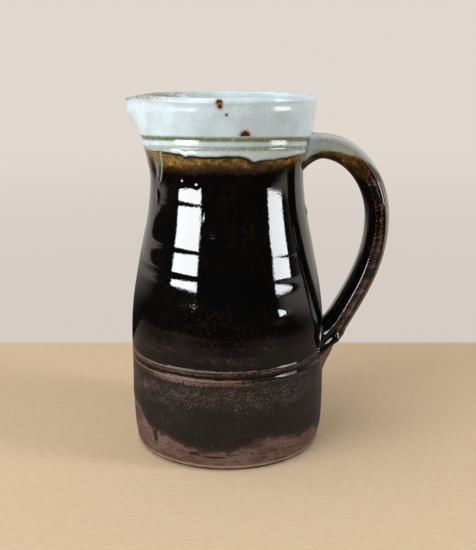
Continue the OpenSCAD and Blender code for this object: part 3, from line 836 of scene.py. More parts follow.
class Strap:
    """The pulled strap: its middle line, its section and its roots on the wall, in metres."""

    # How far the middle line's curves are pulled, as shares of the way between their ends
    root_full, upper_full, lower_full, tail_full = 0.53, 0.62, 0.35, 0.48

    def __init__(self, scene):
        self.wall = wall = Wall(scene)
        self.size = size = scene.jug_handle
        self.coat = scene.jug_glaze.dark_t
        root_z = wall.collar_z + size.root_rise
        self.root = np.array([float(wall.smooth_r(np.array(root_z))), root_z])
        bend = np.array([wall.body.belly_r + size.stand, size.bend_z])
        tail = np.array([float(wall.smooth_r(np.array(size.tail_z))), size.tail_z])
        tail_way = np.array([math.sin(size.tail_angle), math.cos(size.tail_angle)])
        root_pull = np.array([self.root_full * (bend[0] - self.root[0]), size.root_lift])
        bend_up = np.array([0, self.upper_full * (root_z - size.bend_z)])
        bend_down = np.array([0, self.lower_full * (size.bend_z - size.tail_z)])
        tail_pull = self.tail_full * (size.bend_z - size.tail_z) * tail_way
        self.upper = (self.root, self.root + root_pull, bend + bend_up, bend)
        self.lower = (bend, bend - bend_down, tail + tail_pull, tail)
        self.places = np.linspace(0, 2, 401)
        chords = np.linalg.norm(np.diff(self.middle(self.places), axis=0), axis=1)
        self.lengths = np.concatenate([[0], np.cumsum(chords)])
        self.full = self.lengths[-1]
        self.section = self.make_section(size.columns)

    @staticmethod
    def curve(ends, t):
        """Point t of the curve that four points pull."""
        a, b, c, d = ends
        return a * (1 - t) ** 3 + b * 3 * t * (1 - t) ** 2 + c * 3 * t ** 2 * (1 - t) + d * t ** 3

    def middle(self, place):
        """Middle line in the upright plane: place 0 is the upper root, 1 the bend, 2 the tail."""
        t = np.asarray(place)[..., None]
        upper = self.curve(self.upper, np.minimum(t, 1))
        return np.where(t <= 1, upper, self.curve(self.lower, np.maximum(t - 1, 0)))

    def heading(self, place):
        """Direction of the middle line in the upright plane."""
        small = 1e-4
        way = self.middle(np.minimum(place + small, 2)) - self.middle(np.maximum(place - small, 0))
        return way / np.linalg.norm(way, axis=-1, keepdims=True)

    def way_in_space(self, place):
        """Direction of the middle line in the frame."""
        way = self.heading(place)
        return np.stack([way[..., 0], 0 * way[..., 0], way[..., 1]], axis=-1)

    def place_at(self, run):
        """Place on the middle line after a run of it."""
        return np.interp(run, self.lengths, self.places)

    def make_section(self, count):
        """The strap's section as shares of its half width and half thickness, its corners softened."""
        size = self.size
        half = np.array(STRAP_CORNERS)[:, :2]
        mirrored = half[1:-1][::-1] * np.array([-1, 1])
        corners = np.concatenate([half, mirrored, half[:1]])
        scale = np.array([size.width_top, size.thickness]) / 2
        sides = np.linalg.norm(np.diff(corners * scale, axis=0), axis=1)
        runs = np.concatenate([[0], np.cumsum(sides)])
        around = runs[-1]
        fine = np.linspace(0, around, 1441)[:-1]
        weight = np.fft.rfft(bump(np.minimum(fine, around - fine), size.edge_round * math.sqrt(2)))
        weight = weight / weight[0]
        perimeter = np.linspace(0, around, count, endpoint=False)
        section = []
        for shares in corners.T:
            sharp = np.interp(fine, runs, shares)
            soft = np.fft.irfft(np.fft.rfft(sharp) * weight, len(fine))
            soft = soft / abs(soft).max()
            section.append(np.interp(perimeter, fine, soft, period=around))
        self.reach = np.minimum(perimeter, around - perimeter)
        self.corner_runs = runs
        return np.stack(section, axis=-1)

    def rings(self, place, grow):
        """Sections of the strap at these places, one row for each, grown on every side."""
        size = self.size
        centre, way = self.middle(place), self.heading(place)
        across, out = self.section[:, 0], self.section[:, 1]
        half_w = (size.width_top + (size.width_low - size.width_top) * place / 2) / 2 + grow
        lift = (size.thickness / 2 + grow) * out
        x = centre[..., 0] - way[..., 1] * lift
        z = centre[..., 1] + way[..., 0] * lift
        return np.stack([x, half_w * across, z], axis=-1)

    def on_wall(self, middle_z, arc, rise):
        """Points of the glazed wall, an arc and a rise away from the middle of a root."""
        z = middle_z + rise
        skin = 0.45 * MM
        radius = self.wall.clay_r(np.zeros_like(z), z) + skin
        azimuth = arc / radius
        radius = self.wall.clay_r(azimuth, z) + skin
        return np.stack([radius * np.cos(azimuth), radius * np.sin(azimuth), z], axis=-1)

    def upper_turns(self):
        """Turn round the upper root at which each point of the section meets the wall."""
        return np.arctan2(self.section[:, 1], self.section[:, 0])

    def tail_turns(self):
        """Turn round the tail at which each point of the section meets the wall."""
        turns = np.radians([corner[2] for corner in STRAP_CORNERS])
        turn = np.interp(self.reach, self.corner_runs[:len(turns)], turns)
        return np.where(self.section[:, 0] >= 0, turn, math.pi - turn)

    def footprint(self, middle_z, half_w, up, down, turn):
        """Where a root meets the wall, and the direction away from its middle along the wall."""
        wider, narrower = 1.08, 0.92
        arc = half_w * np.cos(turn)
        rise = np.where(np.sin(turn) > 0, up, down) * np.sin(turn)
        spread = self.on_wall(middle_z, wider * arc, wider * rise)
        spread = spread - self.on_wall(middle_z, narrower * arc, narrower * rise)
        spread = spread / np.linalg.norm(spread, axis=-1, keepdims=True)
        return self.on_wall(middle_z, arc, rise), spread


def make_handle(scene):
    """The glazed strap and its two thumbed roots, cut from one surface, and the clay inside the strap."""
    strap = Strap(scene)
    size, out = strap.size, strap.section[:, 1]
    upper_rows, pale_rows, dark_rows, tail_rows = (rows for *_, rows in HANDLE_LENGTHS)
    upper_run = size.slip + 0 * out
    pale_run = size.slip + size.pale + 0 * out
    # The tail is cut slantwise, so that its inner side ends before it reaches the wall
    tail_slant = 17 * MM
    tail_run = strap.full - size.slip - tail_slant * (1 - out) / 2

    pale_shares = np.linspace(0, 1, pale_rows + 1)[:-1, None]
    dark_shares = np.linspace(0, 1, dark_rows + 1)[:-1, None]
    runs = np.concatenate([upper_run + (pale_run - upper_run) * pale_shares,
                           pale_run + (tail_run - pale_run) * dark_shares])
    upper = root_points(strap, strap.place_at(upper_run), upper_rows)
    along = strap.rings(strap.place_at(runs), strap.coat)
    tail = tail_points(strap, strap.place_at(tail_run), tail_rows)
    points = np.concatenate([upper, along, tail])
    points[..., 0] += thumbed_heel(strap, points)
    points[-len(tail):] -= grid_normals(tail) * pinched_ridges(strap, tail_rows)[..., None]

    # Sections run the other way round than the rings of the wall, so their normals are turned over
    normals = -grid_normals(points)
    masks = handle_masks(strap, points, runs, upper_rows)
    material = iron_material(scene)
    first = 0
    for name, node, slot, rows in HANDLE_LENGTHS:
        part = slice(first, first + rows + 1)
        make_tube(name, points[part], normals[part], material, [node], parted(masks, part))
        first += rows

    core_runs = upper_run + (tail_run - upper_run) * np.linspace(0, 1, 60)[:, None]
    core = strap.rings(strap.place_at(core_runs), -0.2 * MM)
    make_tube("clay_strap", core, -grid_normals(core), clay_material(scene), ["handle_strap"], {})


def root_points(strap, start, rows):
    """The upper root, from its footprint on the wall to the strap."""
    across, out = strap.section[:, 0], strap.section[:, 1]
    middle_z, half_w, up, down = strap.root[1] - 1.5 * MM, 17 * MM, 11.2 * MM, 13.5 * MM
    shares = np.linspace(0, 1, rows + 1)[:-1, None] ** 1.2
    foot, spread = strap.footprint(middle_z, half_w, up, down, strap.upper_turns())
    outer_pull, inner_pull, strap_pull = 3.5 * MM, 5 * MM, 13 * MM
    leave = -spread * np.where(out > 0, outer_pull, inner_pull)[:, None]
    arrive = strap.way_in_space(start) * strap_pull
    points = hermite(foot, leave, strap.rings(start, strap.coat), arrive, shares[..., None])
    # Slip squeezed out of the joint stands as a soft bead at both sides
    bead_d, bead_share, bead_reach = 0.9 * MM, 0.34, 0.16
    squeezed = bead_d * bump(shares - bead_share, bead_reach) * ease(abs(across), 0.55, 0.95)
    return points - grid_normals(points) * squeezed[..., None]


def tail_points(strap, end, rows):
    """The tail, from the strap to its footprint on the wall."""
    out = strap.section[:, 1]
    middle_z, half_w, up, down = 63.5 * MM, 17.5 * MM, 19 * MM, 19 * MM
    shares = np.linspace(0, 1, rows + 1)[:, None]
    foot, spread = strap.footprint(middle_z, half_w, up, down, strap.tail_turns())
    outer_pull, inner_pull, outer_flare, inner_flare = 15 * MM, 13 * MM, 16 * MM, 9 * MM
    leave = strap.way_in_space(end) * np.where(out > 0, outer_pull, inner_pull)[:, None]
    arrive = spread * np.where(out > 0, outer_flare, inner_flare)[:, None]
    return hermite(strap.rings(end, strap.coat), leave, foot, arrive, shares[..., None])


def thumbed_heel(strap, points):
    """How far the heel of the tail was thumbed out, and the clay below it pressed in."""
    x, z = points[..., 0], points[..., 2]
    heel_z, pressed_z = 71 * MM, 64 * MM
    heel = strap.size.heel * bump(z - heel_z, 3.6 * MM) * ease(x, 66 * MM, 70 * MM)
    pressed = 1.1 * strap.size.heel * bump(z - pressed_z, 3 * MM) * ease(x, 62 * MM, 66 * MM)
    return (heel - pressed) * np.clip(strap.section[:, 1], 0, 1) ** 0.5


def pinched_ridges(strap, rows):
    """How far the ridges that were pinched along the sides of the tail stand out."""
    shares = np.linspace(0, 1, rows + 1)[:, None]
    edge_side = strap.reach - strap.corner_runs[OUTER_EDGE]
    # The fold is highest by the strap and lowest where the tail runs out
    fold = (1.0 + 1.9 * np.clip((0.9 - shares) / 0.75, 0, 1)) * MM
    ridge = fold * np.where(edge_side > 0, bump(edge_side, 2.1 * MM), bump(edge_side, 1.0 * MM))
    return ridge * ease(shares, 0.0, 0.22) * ease(shares, 1.0, 0.85)


def handle_masks(strap, points, runs, upper_rows):
    """Where the strap is pale, amber, broken to brown or pitted, with a painted sheen down its outer face,
    for each point of the handle.
    """
    out = strap.section[:, 1]
    shape = points.shape[:2]
    row = np.arange(shape[0])[:, None]
    tail_start = upper_rows + len(runs)
    run = strap.size.slip * row / upper_rows + np.zeros(shape)
    run[upper_rows:tail_start] = runs
    run[tail_start:] = strap.full
    z = points[..., 2]

    edge_side = strap.reach - strap.corner_runs[OUTER_EDGE]
    edge = np.maximum(0.66 * bump(edge_side - 2.0 * MM, 1.7 * MM), ease(edge_side, -0.7 * MM, -2.2 * MM))
    ridge = bump(strap.reach - strap.corner_runs[SIDE_RIDGE], 1.1 * MM)
    pitted = bump(edge_side - 0.4 * MM, 1.4 * MM)

    # The dip ran furthest along the outer face and hardly wetted the inner one
    dip_run = 30 * MM
    dip_end = dip_run + 14 * MM * ease(out, 0.5, 0.95)
    wetted = -0.6 + 0.85 * np.clip(run / dip_run, 0, 1)
    dipped = ease(run, dip_end + 8 * MM, dip_end - 8 * MM) * ease(out - wetted, -0.2, 0.25)
    collar_z = strap.wall.collar_z
    low_root = ease(z, collar_z - 13 * MM, collar_z - 4 * MM)
    dipped = np.where(row < upper_rows, dipped * low_root, dipped)
    amber = 0.85 * ease(run, dip_end + 26 * MM, dip_end - 6 * MM) * (0.55 + 0.45 * ease(out, -0.9, -0.3))
    past_dip = ease(run, dip_end - 2 * MM, dip_end + 16 * MM)
    # A pale strip is painted down the outer face: painted sheen of the bright room along its grazing edge
    painted_sheen = past_dip * ease(edge_side, -0.9 * MM, -2.4 * MM) * ease(z, 90 * MM, 150 * MM)
    dipped = np.maximum(dipped, 0.66 * painted_sheen)

    edge_worn = edge * (0.72 + 0.12 * ease(z, 120 * MM, 80 * MM)) * ease(z, 70 * MM, 80 * MM)
    tail_face = ease(z, 78 * MM, 71 * MM) * ease(edge_side, -0.4 * MM, -1.4 * MM)
    broken = np.maximum(past_dip * (edge_worn + 0.34 * ridge), 0.66 * tail_face * (row >= tail_start))
    crest_line = 0.66 * ease(out, 0.86, 0.98) * ease(run, 46 * MM, 14 * MM)
    # The dip pooled in the crease where the strap leaves the collar
    crease_rows = np.array([0.5, 0.9, 0.7, 0.3])[:, None]
    crease = np.zeros(shape)
    crease[:len(crease_rows)] = crease_rows * ease(out, 0.2, 0.8)
    low_tail = ease(z, 64 * MM, 56 * MM)
    return {
        "above_edge": np.full(shape, 40.0),
        "amber": amber,
        "broken": broken,
        "dry": 0.4 * low_tail,
        "specked": 0.25 + 0.4 * low_tail,
        "dip": dipped,
        "veil": 0.62 + 0.3 * ease(run, 0, 24 * MM) - 0.4 * ease(out, 0.55, 0.9),
        "thin": np.maximum.reduce([0.62 * pitted * ease(run, 2 * MM, 9 * MM), 0.62 * painted_sheen, crest_line]),
        "crease": crease,
    }


# Shader nodes

class Tree:
    """A node tree with short ways to add to it. Each input is a socket or a plain value."""

    def __init__(self, tree):
        self.tree = tree

    def node(self, kind, inputs=None, **settings):
        """A new node of this kind, with its settings made and its inputs fed."""
        made = self.tree.nodes.new("ShaderNode" + kind)
        for name, value in settings.items():
            setattr(made, name, value)
        for key, value in (inputs or {}).items():
            self.feed(made.inputs[key], value)
        return made

    def feed(self, socket, value):
        """Links a socket to the one given, or sets it to a plain value or a solid colour."""
        if isinstance(value, bpy.types.NodeSocket):
            self.tree.links.new(value, socket)
        elif isinstance(value, Color):
            socket.default_value = (*value, 1.0)
        else:
            socket.default_value = value

    def feed_all(self, sockets, **values):
        """Feeds the sockets of these names, which are written here in small letters."""
        for name, value in values.items():
            self.feed(sockets[name.replace("_", " ").title()], value)

    def math(self, operation, first, second=0.0):
        """The result of a sum on one or two values."""
        return self.node("Math", {0: first, 1: second}, operation=operation).outputs[0]

    def add(self, first, second):
        """Two values added."""
        return self.math("ADD", first, second)

    def times(self, first, second):
        """Two values multiplied."""
        return self.math("MULTIPLY", first, second)

    def larger(self, first, second):
        """The larger of two values."""
        return self.math("MAXIMUM", first, second)

    def swing(self, noise, amount):
        """A noise taken about its middle and scaled."""
        return self.times(self.add(noise, -0.5), amount)

    def ease(self, value, low, high, start=0.0, end=1.0):
        """A smooth change from start at low to end at high."""
        inputs = {"Value": value, "From Min": low, "From Max": high, "To Min": start, "To Max": end}
        return self.node("MapRange", inputs, interpolation_type="SMOOTHSTEP").outputs[0]

    def mix(self, share, first, second):
        """The first colour, with a share of the second."""
        return self.node("Mix", {0: share, 6: first, 7: second}, data_type="RGBA").outputs[2]

    def blend(self, share, first, second):
        """The first value, with a share of the second."""
        return self.node("Mix", {0: share, 2: first, 3: second}, data_type="FLOAT").outputs[0]

    def lay(self, tint, over, mask, strength):
        """A tint laid over a tone where a mask shows it, at a given strength."""
        return self.mix(self.times(mask, strength), over, tint)

    def place(self, stretch=(1, 1, 1)):
        """Points of the piece in metres, stretched along each axis."""
        spot = self.node("TexCoord").outputs["Object"]
        return self.node("Mapping", {"Vector": spot, "Scale": stretch}).outputs[0]

    def axes(self, vector):
        """The three parts of a vector."""
        return self.node("SeparateXYZ", {0: vector}).outputs

    def noise(self, per_metre, detail=2.0, rough=0.55, stretch=(1, 1, 1)):
        """Soft noise with so many swells to the metre, from 0 to 1."""
        inputs = {"Vector": self.place(stretch), "Scale": per_metre, "Detail": detail, "Roughness": rough}
        return self.node("TexNoise", inputs).outputs[0]

    def mask(self, name):
        """A mask that the piece carries."""
        return self.node("Attribute", attribute_name=name).outputs["Fac"]

    def masks(self, *names):
        """Masks that the piece carries, by their names."""
        return {name: self.mask(name) for name in names}

    def group(self, tree, **inputs):
        """A node group with its inputs fed: its outputs."""
        made = self.node("Group", node_tree=tree)
        self.feed_all(made.inputs, **inputs)
        return made.outputs

    def specks(self, per_metre, size, share):
        """Round specks: cells to the metre, reach of a speck in its cell, share of cells that have one."""
        return self.group(specks_group(), per_metre=per_metre, size=size, share=share)["Mask"]


def built_once(store, name):
    """Has a builder make its data block on its first call only, and find it by its name after that."""
    def decorate(build):
        @wraps(build)
        def find(*given):
            blocks = getattr(bpy.data, store)
            if name not in blocks:
                build(name, *given)
            return blocks[name]
        return find
    return decorate


def new_group(name, inputs, outputs):
    """An empty node group with float inputs and named outputs, and its two ends."""
    tree = bpy.data.node_groups.new(name, "ShaderNodeTree")
    for title in inputs:
        tree.interface.new_socket(name=title, in_out="INPUT", socket_type="NodeSocketFloat")
    for title, kind in outputs.items():
        tree.interface.new_socket(name=title, in_out="OUTPUT", socket_type="NodeSocket" + kind)
    return Tree(tree), tree.nodes.new("NodeGroupInput").outputs, tree.nodes.new("NodeGroupOutput").inputs


TONE = {"Color": "Color", "Roughness": "Float", "Height": "Float"}


@built_once("node_groups", "round_specks")
def specks_group(name):
    """Round specks, each in its own cell."""
    tree, given, result = new_group(name, ("Per Metre", "Size", "Share"), {"Mask": "Float"})
    cells = tree.node("TexVoronoi", {"Vector": tree.place(), "Scale": given["Per Metre"]})
    chance = tree.node("SeparateColor", {0: cells.outputs["Color"]}).outputs[0]
    kept = tree.math("LESS_THAN", chance, given["Share"])
    inner = tree.times(given["Size"], 0.6)
    dot = tree.ease(cells.outputs["Distance"], given["Size"], inner)
    tree.feed_all(result, mask=tree.times(dot, kept))


@built_once("node_groups", "clay_tone")
def clay_group(name, glaze):
    """Tone of bare clay flashed by the fire: red-brown and mauve in streaks, rubbed pale at the foot, with
    painted shade at its lowest edge.
    """
    tree, given, result = new_group(name, ("Smoke",), TONE)
    slow = tree.noise(42, 3, 0.6, (1, 1, 2.0))
    streak = tree.noise(210, 5, 0.75, (0.5, 0.5, 3.2))
    grain = tree.noise(1400, 3, 0.7)

    flash = tree.ease(tree.add(slow, tree.times(streak, 0.7)), 0.74, 1.0)
    tone = tree.mix(flash, glaze.ember, glaze.mauve)
    tone = tree.mix(tree.ease(streak, 0.5, 0.66), tone, glaze.clay)
    shade = tree.ease(tree.add(streak, tree.swing(grain, 0.35)), 0.5, 0.34)
    tone = tree.lay(glaze.satin, tone, shade, 0.8)
    tone = tree.lay(glaze.satin, tone, tree.specks(520.0, 0.32, 0.2), 0.65)
    tone = tree.lay(glaze.biscuit, tone, tree.specks(700.0, 0.3, 0.16), 0.35)
    stain = tree.ease(tree.add(given["Smoke"], tree.swing(grain, 0.9)), 0.38, 0.7)
    tone = tree.lay(glaze.black, tone, stain, 0.9)

    # A rubbed line round the foot, and below it the lowest edge painted dark: painted shade where the foot
    # meets the floor
    level = tree.add(tree.axes(tree.place())[2], tree.swing(streak, 2 * MM))
    rubbed = tree.times(tree.ease(level, 4.2 * MM, 3.3 * MM), tree.ease(level, 1.8 * MM, 2.6 * MM))
    tone = tree.lay(glaze.biscuit, tone, rubbed, 0.45)
    tone = tree.lay(glaze.satin, tone, tree.ease(level, 2.6 * MM, 1.4 * MM), 0.75)
    tree.feed_all(result, color=tone, roughness=tree.blend(flash, 0.5, 0.3),
                  height=tree.add(tree.times(grain, 0.5), tree.times(streak, 1.6)))


@built_once("node_groups", "iron_tone")
def iron_group(name, glaze):
    """Tone of the iron glaze: black where thick, amber under pale glaze, brown where it breaks, dry low."""
    inputs = ("Amber", "Broken", "Dry", "Specked", "Smoke", "Above Edge")
    tree, given, result = new_group(name, inputs, TONE)
    slow = tree.noise(45, 3, 0.55)
    band = tree.noise(70, 4, 0.65, (0.3, 0.3, 2.6))
    fine = tree.noise(1300, 3, 0.65)
    streak = tree.noise(420, 4, 0.7, (1, 1, 0.45))
    blotch = tree.noise(170, 3, 0.6, (0.7, 0.7, 1.2))
    peel = tree.noise(700, 2, 0.6)
    turning = tree.noise(300, 3, 0.6, (0.06, 0.06, 1.6))

    # Thick glaze, with rust specks that gather in drifts
    drift = tree.ease(tree.add(slow, tree.times(given["Specked"], 0.25)), 0.4, 0.68)
    thick = tree.mix(given["Dry"], glaze.black, glaze.satin)
    tone = tree.lay(glaze.rust, thick, tree.specks(1400.0, 0.36, 0.4), tree.times(drift, 0.62))

    # Tan specks and pinholes, thickest in a band below the rings
    cloud = tree.add(tree.times(given["Specked"], 0.8), tree.swing(band, 1.3))
    strewn = tree.add(fine, tree.swing(blotch, 0.45))
    clouded = tree.times(tree.ease(cloud, 0.2, 0.8), tree.ease(strewn, 0.47, 0.68))
    tone = tree.lay(glaze.mauve, tone, clouded, 0.6)
    gathered = tree.ease(tree.add(cloud, tree.swing(blotch, 1.2)), 0.1, 0.6)
    tan = tree.times(tree.specks(800.0, 0.25, 0.3), gathered)
    tan = tree.times(tan, tree.ease(given["Dry"], 0.0, 0.5, 0.3, 1.0))
    tone = tree.lay(glaze.biscuit, tone, tan, 0.5)

    # Amber, grainy and running down in streaks
    ragged = tree.add(tree.swing(streak, 0.6), tree.swing(blotch, 1.1))
    amber = tree.add(given["Amber"], tree.times(ragged, tree.ease(given["Amber"], 0.0, 0.25)))
    grainy = tree.add(tree.times(fine, 0.9), tree.times(streak, 0.5))
    gold = tree.times(tree.ease(grainy, 0.6, 0.86), tree.ease(amber, 0.7, 1.1))
    warm = tree.mix(gold, glaze.amber, glaze.gold)
    warm = tree.mix(tree.ease(amber, 0.9, 0.4), warm, glaze.umber)
    warm = tree.lay(glaze.umber, warm, tree.ease(grainy, 0.66, 0.52), 0.6)
    tone = tree.mix(tree.ease(amber, 0.12, 0.42), tone, warm)

    # Brown where the glaze has drawn away from an edge
    wear = tree.add(tree.swing(fine, 1.9), tree.swing(band, 1.2))
    wear = tree.times(wear, tree.ease(given["Broken"], 0.0, 0.25))
    breaking = tree.ease(tree.add(given["Broken"], wear), 0.3, 0.75)
    tone = tree.lay(glaze.brown, tone, breaking, 0.9)

    # The wavering edge above the foot, singed just over the bare clay
    wander = tree.add(tree.swing(slow, 6.0), tree.swing(fine, 8.0))
    wander = tree.add(wander, tree.swing(blotch, 7.0))
    above = tree.add(given["Above Edge"], wander)
    bare = tree.ease(above, 1.2, -1.4)
    tone = tree.lay(glaze.rust, tone, tree.ease(above, 4.5, 0.5), 0.35)
    clay = tree.group(clay_group(glaze), smoke=given["Smoke"])
    tone = tree.mix(bare, tone, clay["Color"])

    satin = tree.ease(tree.add(fine, tree.times(clouded, 0.3)), 0.3, 0.75, 0.13, 0.3)
    shine = tree.blend(given["Dry"], 0.035, satin)
    shine = tree.blend(breaking, shine, 0.52)
    shine = tree.blend(bare, shine, clay["Roughness"])
    pits = tree.times(tan, -1.2)
    dry_skin = tree.times(tree.add(fine, tree.times(turning, 2.5)), given["Dry"])
    skin = tree.add(peel, tree.add(pits, dry_skin))
    tree.feed_all(result, color=tone, roughness=shine, height=tree.blend(bare, skin, clay["Height"]))


@built_once("node_groups", "pale_tone")
def pale_group(name, glaze):
    """Tone of the pale glaze: blue-white where thick, green in pools, ochre where thin, grey as a veil."""
    tree, given, result = new_group(name, ("Pooled", "Thin", "Veil"), TONE)
    slow = tree.noise(40, 3, 0.55)
    fine = tree.noise(1500, 3, 0.7)
    spotted = tree.noise(1100, 2, 0.6)
    drawn = tree.noise(560, 3, 0.65, (1, 1, 0.35))
    brushed = tree.noise(1500, 3, 0.6, (0.09, 0.09, 1))

    milky = tree.ease(tree.add(slow, tree.times(fine, 0.4)), 0.55, 0.9)
    tone = tree.mix(milky, glaze.pale, glaze.pale_grey)
    veil = tree.add(given["Veil"], tree.swing(fine, 0.5))
    tone = tree.mix(tree.ease(veil, 0.05, 0.85), tone, glaze.veil)

    rough_edge = tree.add(tree.swing(drawn, 1.0), tree.swing(brushed, 0.7))
    pool = tree.add(given["Pooled"], tree.times(rough_edge, tree.ease(given["Pooled"], 0.35, 0.8)))
    tone = tree.mix(tree.ease(pool, 0.15, 0.8), tone, glaze.green)
    deep = tree.ease(tree.add(pool, tree.times(fine, 0.5)), 0.9, 1.35)
    tone = tree.lay(glaze.moss, tone, deep, 0.8)

    spotty = tree.add(tree.swing(fine, 1.6), tree.swing(spotted, 1.2))
    thin = tree.add(given["Thin"], tree.times(spotty, tree.ease(given["Thin"], 0.0, 0.3)))
    tone = tree.lay(glaze.ochre, tone, tree.ease(thin, 0.4, 0.7), 0.75)
    tone = tree.lay(glaze.iron, tone, tree.ease(thin, 0.66, 0.84), 0.9)
    tone = tree.lay(glaze.iron, tone, tree.specks(380.0, 0.13, 0.1), 0.5)

    shine = tree.ease(tree.add(fine, tree.times(slow, 0.6)), 0.5, 1.1, 0.08, 0.2)
    ridged = tree.times(brushed, tree.times(given["Pooled"], 1.2))
    tree.feed_all(result, color=tone, roughness=shine, height=tree.add(tree.noise(600, 2, 0.5), ridged))


# Clay and glazes

def new_material(name):
    """An empty material with a glazed shader: its tree, and the shader's inputs."""
    material = bpy.data.materials.new(name)
    material.use_nodes = True
    material.node_tree.nodes.clear()
    tree = Tree(material.node_tree)
    shader = tree.node("BsdfPrincipled")
    tree.node("OutputMaterial", {"Surface": shader.outputs[0]})
    return tree, shader.inputs


def dress(tree, shader, tone, roughness, height, relief):
    """Feeds a tone into the shader, with its height as relief in metres."""
    raised = tree.node("Bump", {"Strength": 1.0, "Distance": relief, "Height": height}).outputs[0]
    tree.feed_all(shader, base_color=tone, roughness=roughness, normal=raised)


@built_once("materials", "bare_stoneware")
def clay_material(name, scene):
    """Bare stoneware clay."""
    tree, shader = new_material(name)
    clay = tree.group(clay_group(scene.jug_glaze), smoke=tree.mask("smoke"))
    dress(tree, shader, clay["Color"], clay["Roughness"], clay["Height"], 0.03 * MM)


@built_once("materials", "iron_glaze")
def iron_material(name, scene):
    """Iron glaze with the pale glaze run over it where the piece was dipped twice."""
    tree, shader = new_material(name)
    iron = tree.group(iron_group(scene.jug_glaze),
                      **tree.masks("amber", "broken", "dry", "specked", "smoke", "above_edge"))
    dip = tree.mask("dip")
    ragged = tree.swing(tree.noise(300, 4, 0.7, (1, 1, 0.5)), 1.0)
    over = tree.ease(tree.add(dip, ragged), 0.2, 0.8)
    pooled = tree.larger(tree.mask("crease"), tree.ease(dip, 1.0, 0.5, 0.0, 0.8))
    pale = tree.group(pale_group(scene.jug_glaze), pooled=pooled, **tree.masks("thin", "veil"))
    tone = tree.mix(over, iron["Color"], pale["Color"])
    shine = tree.blend(over, iron["Roughness"], pale["Roughness"])
    dress(tree, shader, tone, shine, iron["Height"], 0.025 * MM)
    shader["IOR"].default_value = 1.6


@built_once("materials", "pale_ash_glaze")
def ash_material(name, scene):
    """Pale glaze of the collar, with its few iron spots."""
    tree, shader = new_material(name)
    glaze, wall = scene.jug_glaze, Wall(scene)
    pale = tree.group(pale_group(glaze), **tree.masks("pooled", "thin", "veil"))
    tone = pale["Color"]
    ragged = tree.swing(tree.noise(900, 3, 0.6), 1.6 * MM)
    height = tree.axes(tree.place())[2]
    for bearing, z, reach, flat in IRON_SPOTS:
        radius = float(wall.smooth_r(np.array(z * MM))) + glaze.pale_t
        turn = math.radians(bearing)
        spot = (radius * math.cos(turn), radius * math.sin(turn), z * MM)
        gap = tree.node("VectorMath", {0: tree.place(), 1: spot}, operation="DISTANCE").outputs["Value"]
        gap = tree.add(gap, ragged)
        cut = tree.ease(height, (z - 0.5) * MM, (z - 0.1) * MM, 1.0 - flat, 1.0)
        halo = tree.ease(gap, (1.4 * reach + 0.6) * MM, reach * MM)
        tone = tree.lay(glaze.ochre, tone, halo, tree.times(cut, 0.7))
        tone = tree.lay(glaze.iron, tone, tree.ease(gap, reach * MM, (reach - 0.45) * MM), cut)
    dress(tree, shader, tone, pale["Roughness"], pale["Height"], 0.014 * MM)
    shader["IOR"].default_value = 1.52


@built_once("materials", "liner_iron_glaze")
def liner_material(name, scene):
    """Iron glaze poured thin round the inside, browner than outside."""
    tree, shader = new_material(name)
    amber = tree.ease(tree.noise(30, 3), 0.4, 0.75, 0.1, 0.4)
    iron = tree.group(iron_group(scene.jug_glaze), amber=amber, broken=0.0, dry=0.2, specked=0.3, smoke=0.0,
                      above_edge=40.0)
    dress(tree, shader, iron["Color"], iron["Roughness"], iron["Height"], 0.012 * MM)
    shader["IOR"].default_value = 1.55


# Stage

def dimmed(tint, share):
    """A colour at a share of its light."""
    return Color([share * part for part in tint])


def floor_material(stage):
    """Tan floor near the jug and a surround beyond it, painted with shade near the jug, which the glaze
    mirrors dim in front.
    """
    material = bpy.data.materials.new("studio_floor")
    material.use_nodes = True
    material.node_tree.nodes.clear()
    tree = Tree(material.node_tree)
    across, depth, _ = tree.axes(tree.place())
    soft_back, full_front, full_side = 4 * MM, 200 * MM, 240 * MM
    behind = tree.ease(depth, stage.floor_back - soft_back, stage.floor_back + soft_back)
    front = tree.ease(depth, -full_front, -stage.floor_front)
    side = tree.ease(tree.math("ABSOLUTE", across), full_side, stage.floor_side)
    beyond = tree.larger(behind, tree.larger(front, side))
    shade = 0.88
    fibre = tree.noise(700, 4, 0.7, (0.25, 1, 1))
    tan = tree.mix(tree.ease(fibre, 0.3, 0.7), dimmed(stage.floor, shade), stage.floor)
    path = tree.node("LightPath").outputs
    tan = tree.mix(path["Is Glossy Ray"], tan, stage.floor_dim)
    surface = tree.node("BsdfDiffuse", {"Color": tan}).outputs[0]
    # Beyond the floor the room is pale behind the jug and to its right
    pale_side = tree.add(depth, tree.times(tree.larger(across, 0), 0.6))
    glow = tree.larger(path["Is Camera Ray"], tree.ease(pale_side, 0.25, 1.0, 0.02, 0.95))
    reach = tree.node("VectorMath", {0: tree.place()}, operation="LENGTH").outputs["Value"]
    # The surround is painted darker near the jug and lighter further off: painted shade low on the backdrop
    wash = tree.mix(tree.ease(reach, 0.2, 2.0), dimmed(stage.backdrop, shade), stage.backdrop)
    surround = tree.node("Emission", {"Color": wash, "Strength": glow}).outputs[0]
    mixed = tree.node("MixShader", {0: beyond, 1: surface, 2: surround}).outputs[0]
    tree.node("OutputMaterial", {"Surface": mixed})
    return material


def view_way(stage):
    """From the camera to the point that it looks at."""
    return Vector(stage.camera_aim) - Vector(stage.camera_at)


def make_floor(stage):
    """A wide floor just under the jug."""
    half = 6.0
    drop = -0.15 * MM
    corners = [(-half, -half, drop), (half, -half, drop), (half, half, drop), (-half, half, drop)]
    mesh = bpy.data.meshes.new("studio_floor")
    mesh.from_pydata(corners, [], [(0, 1, 2, 3)])
    mesh.materials.append(floor_material(stage))
    floor = bpy.data.objects.new("studio_floor", mesh)
    # The floor's back edge lies level in the picture
    way = view_way(stage)
    floor.rotation_euler.z = math.atan2(-way.x, way.y)
    bpy.context.scene.collection.objects.link(floor)


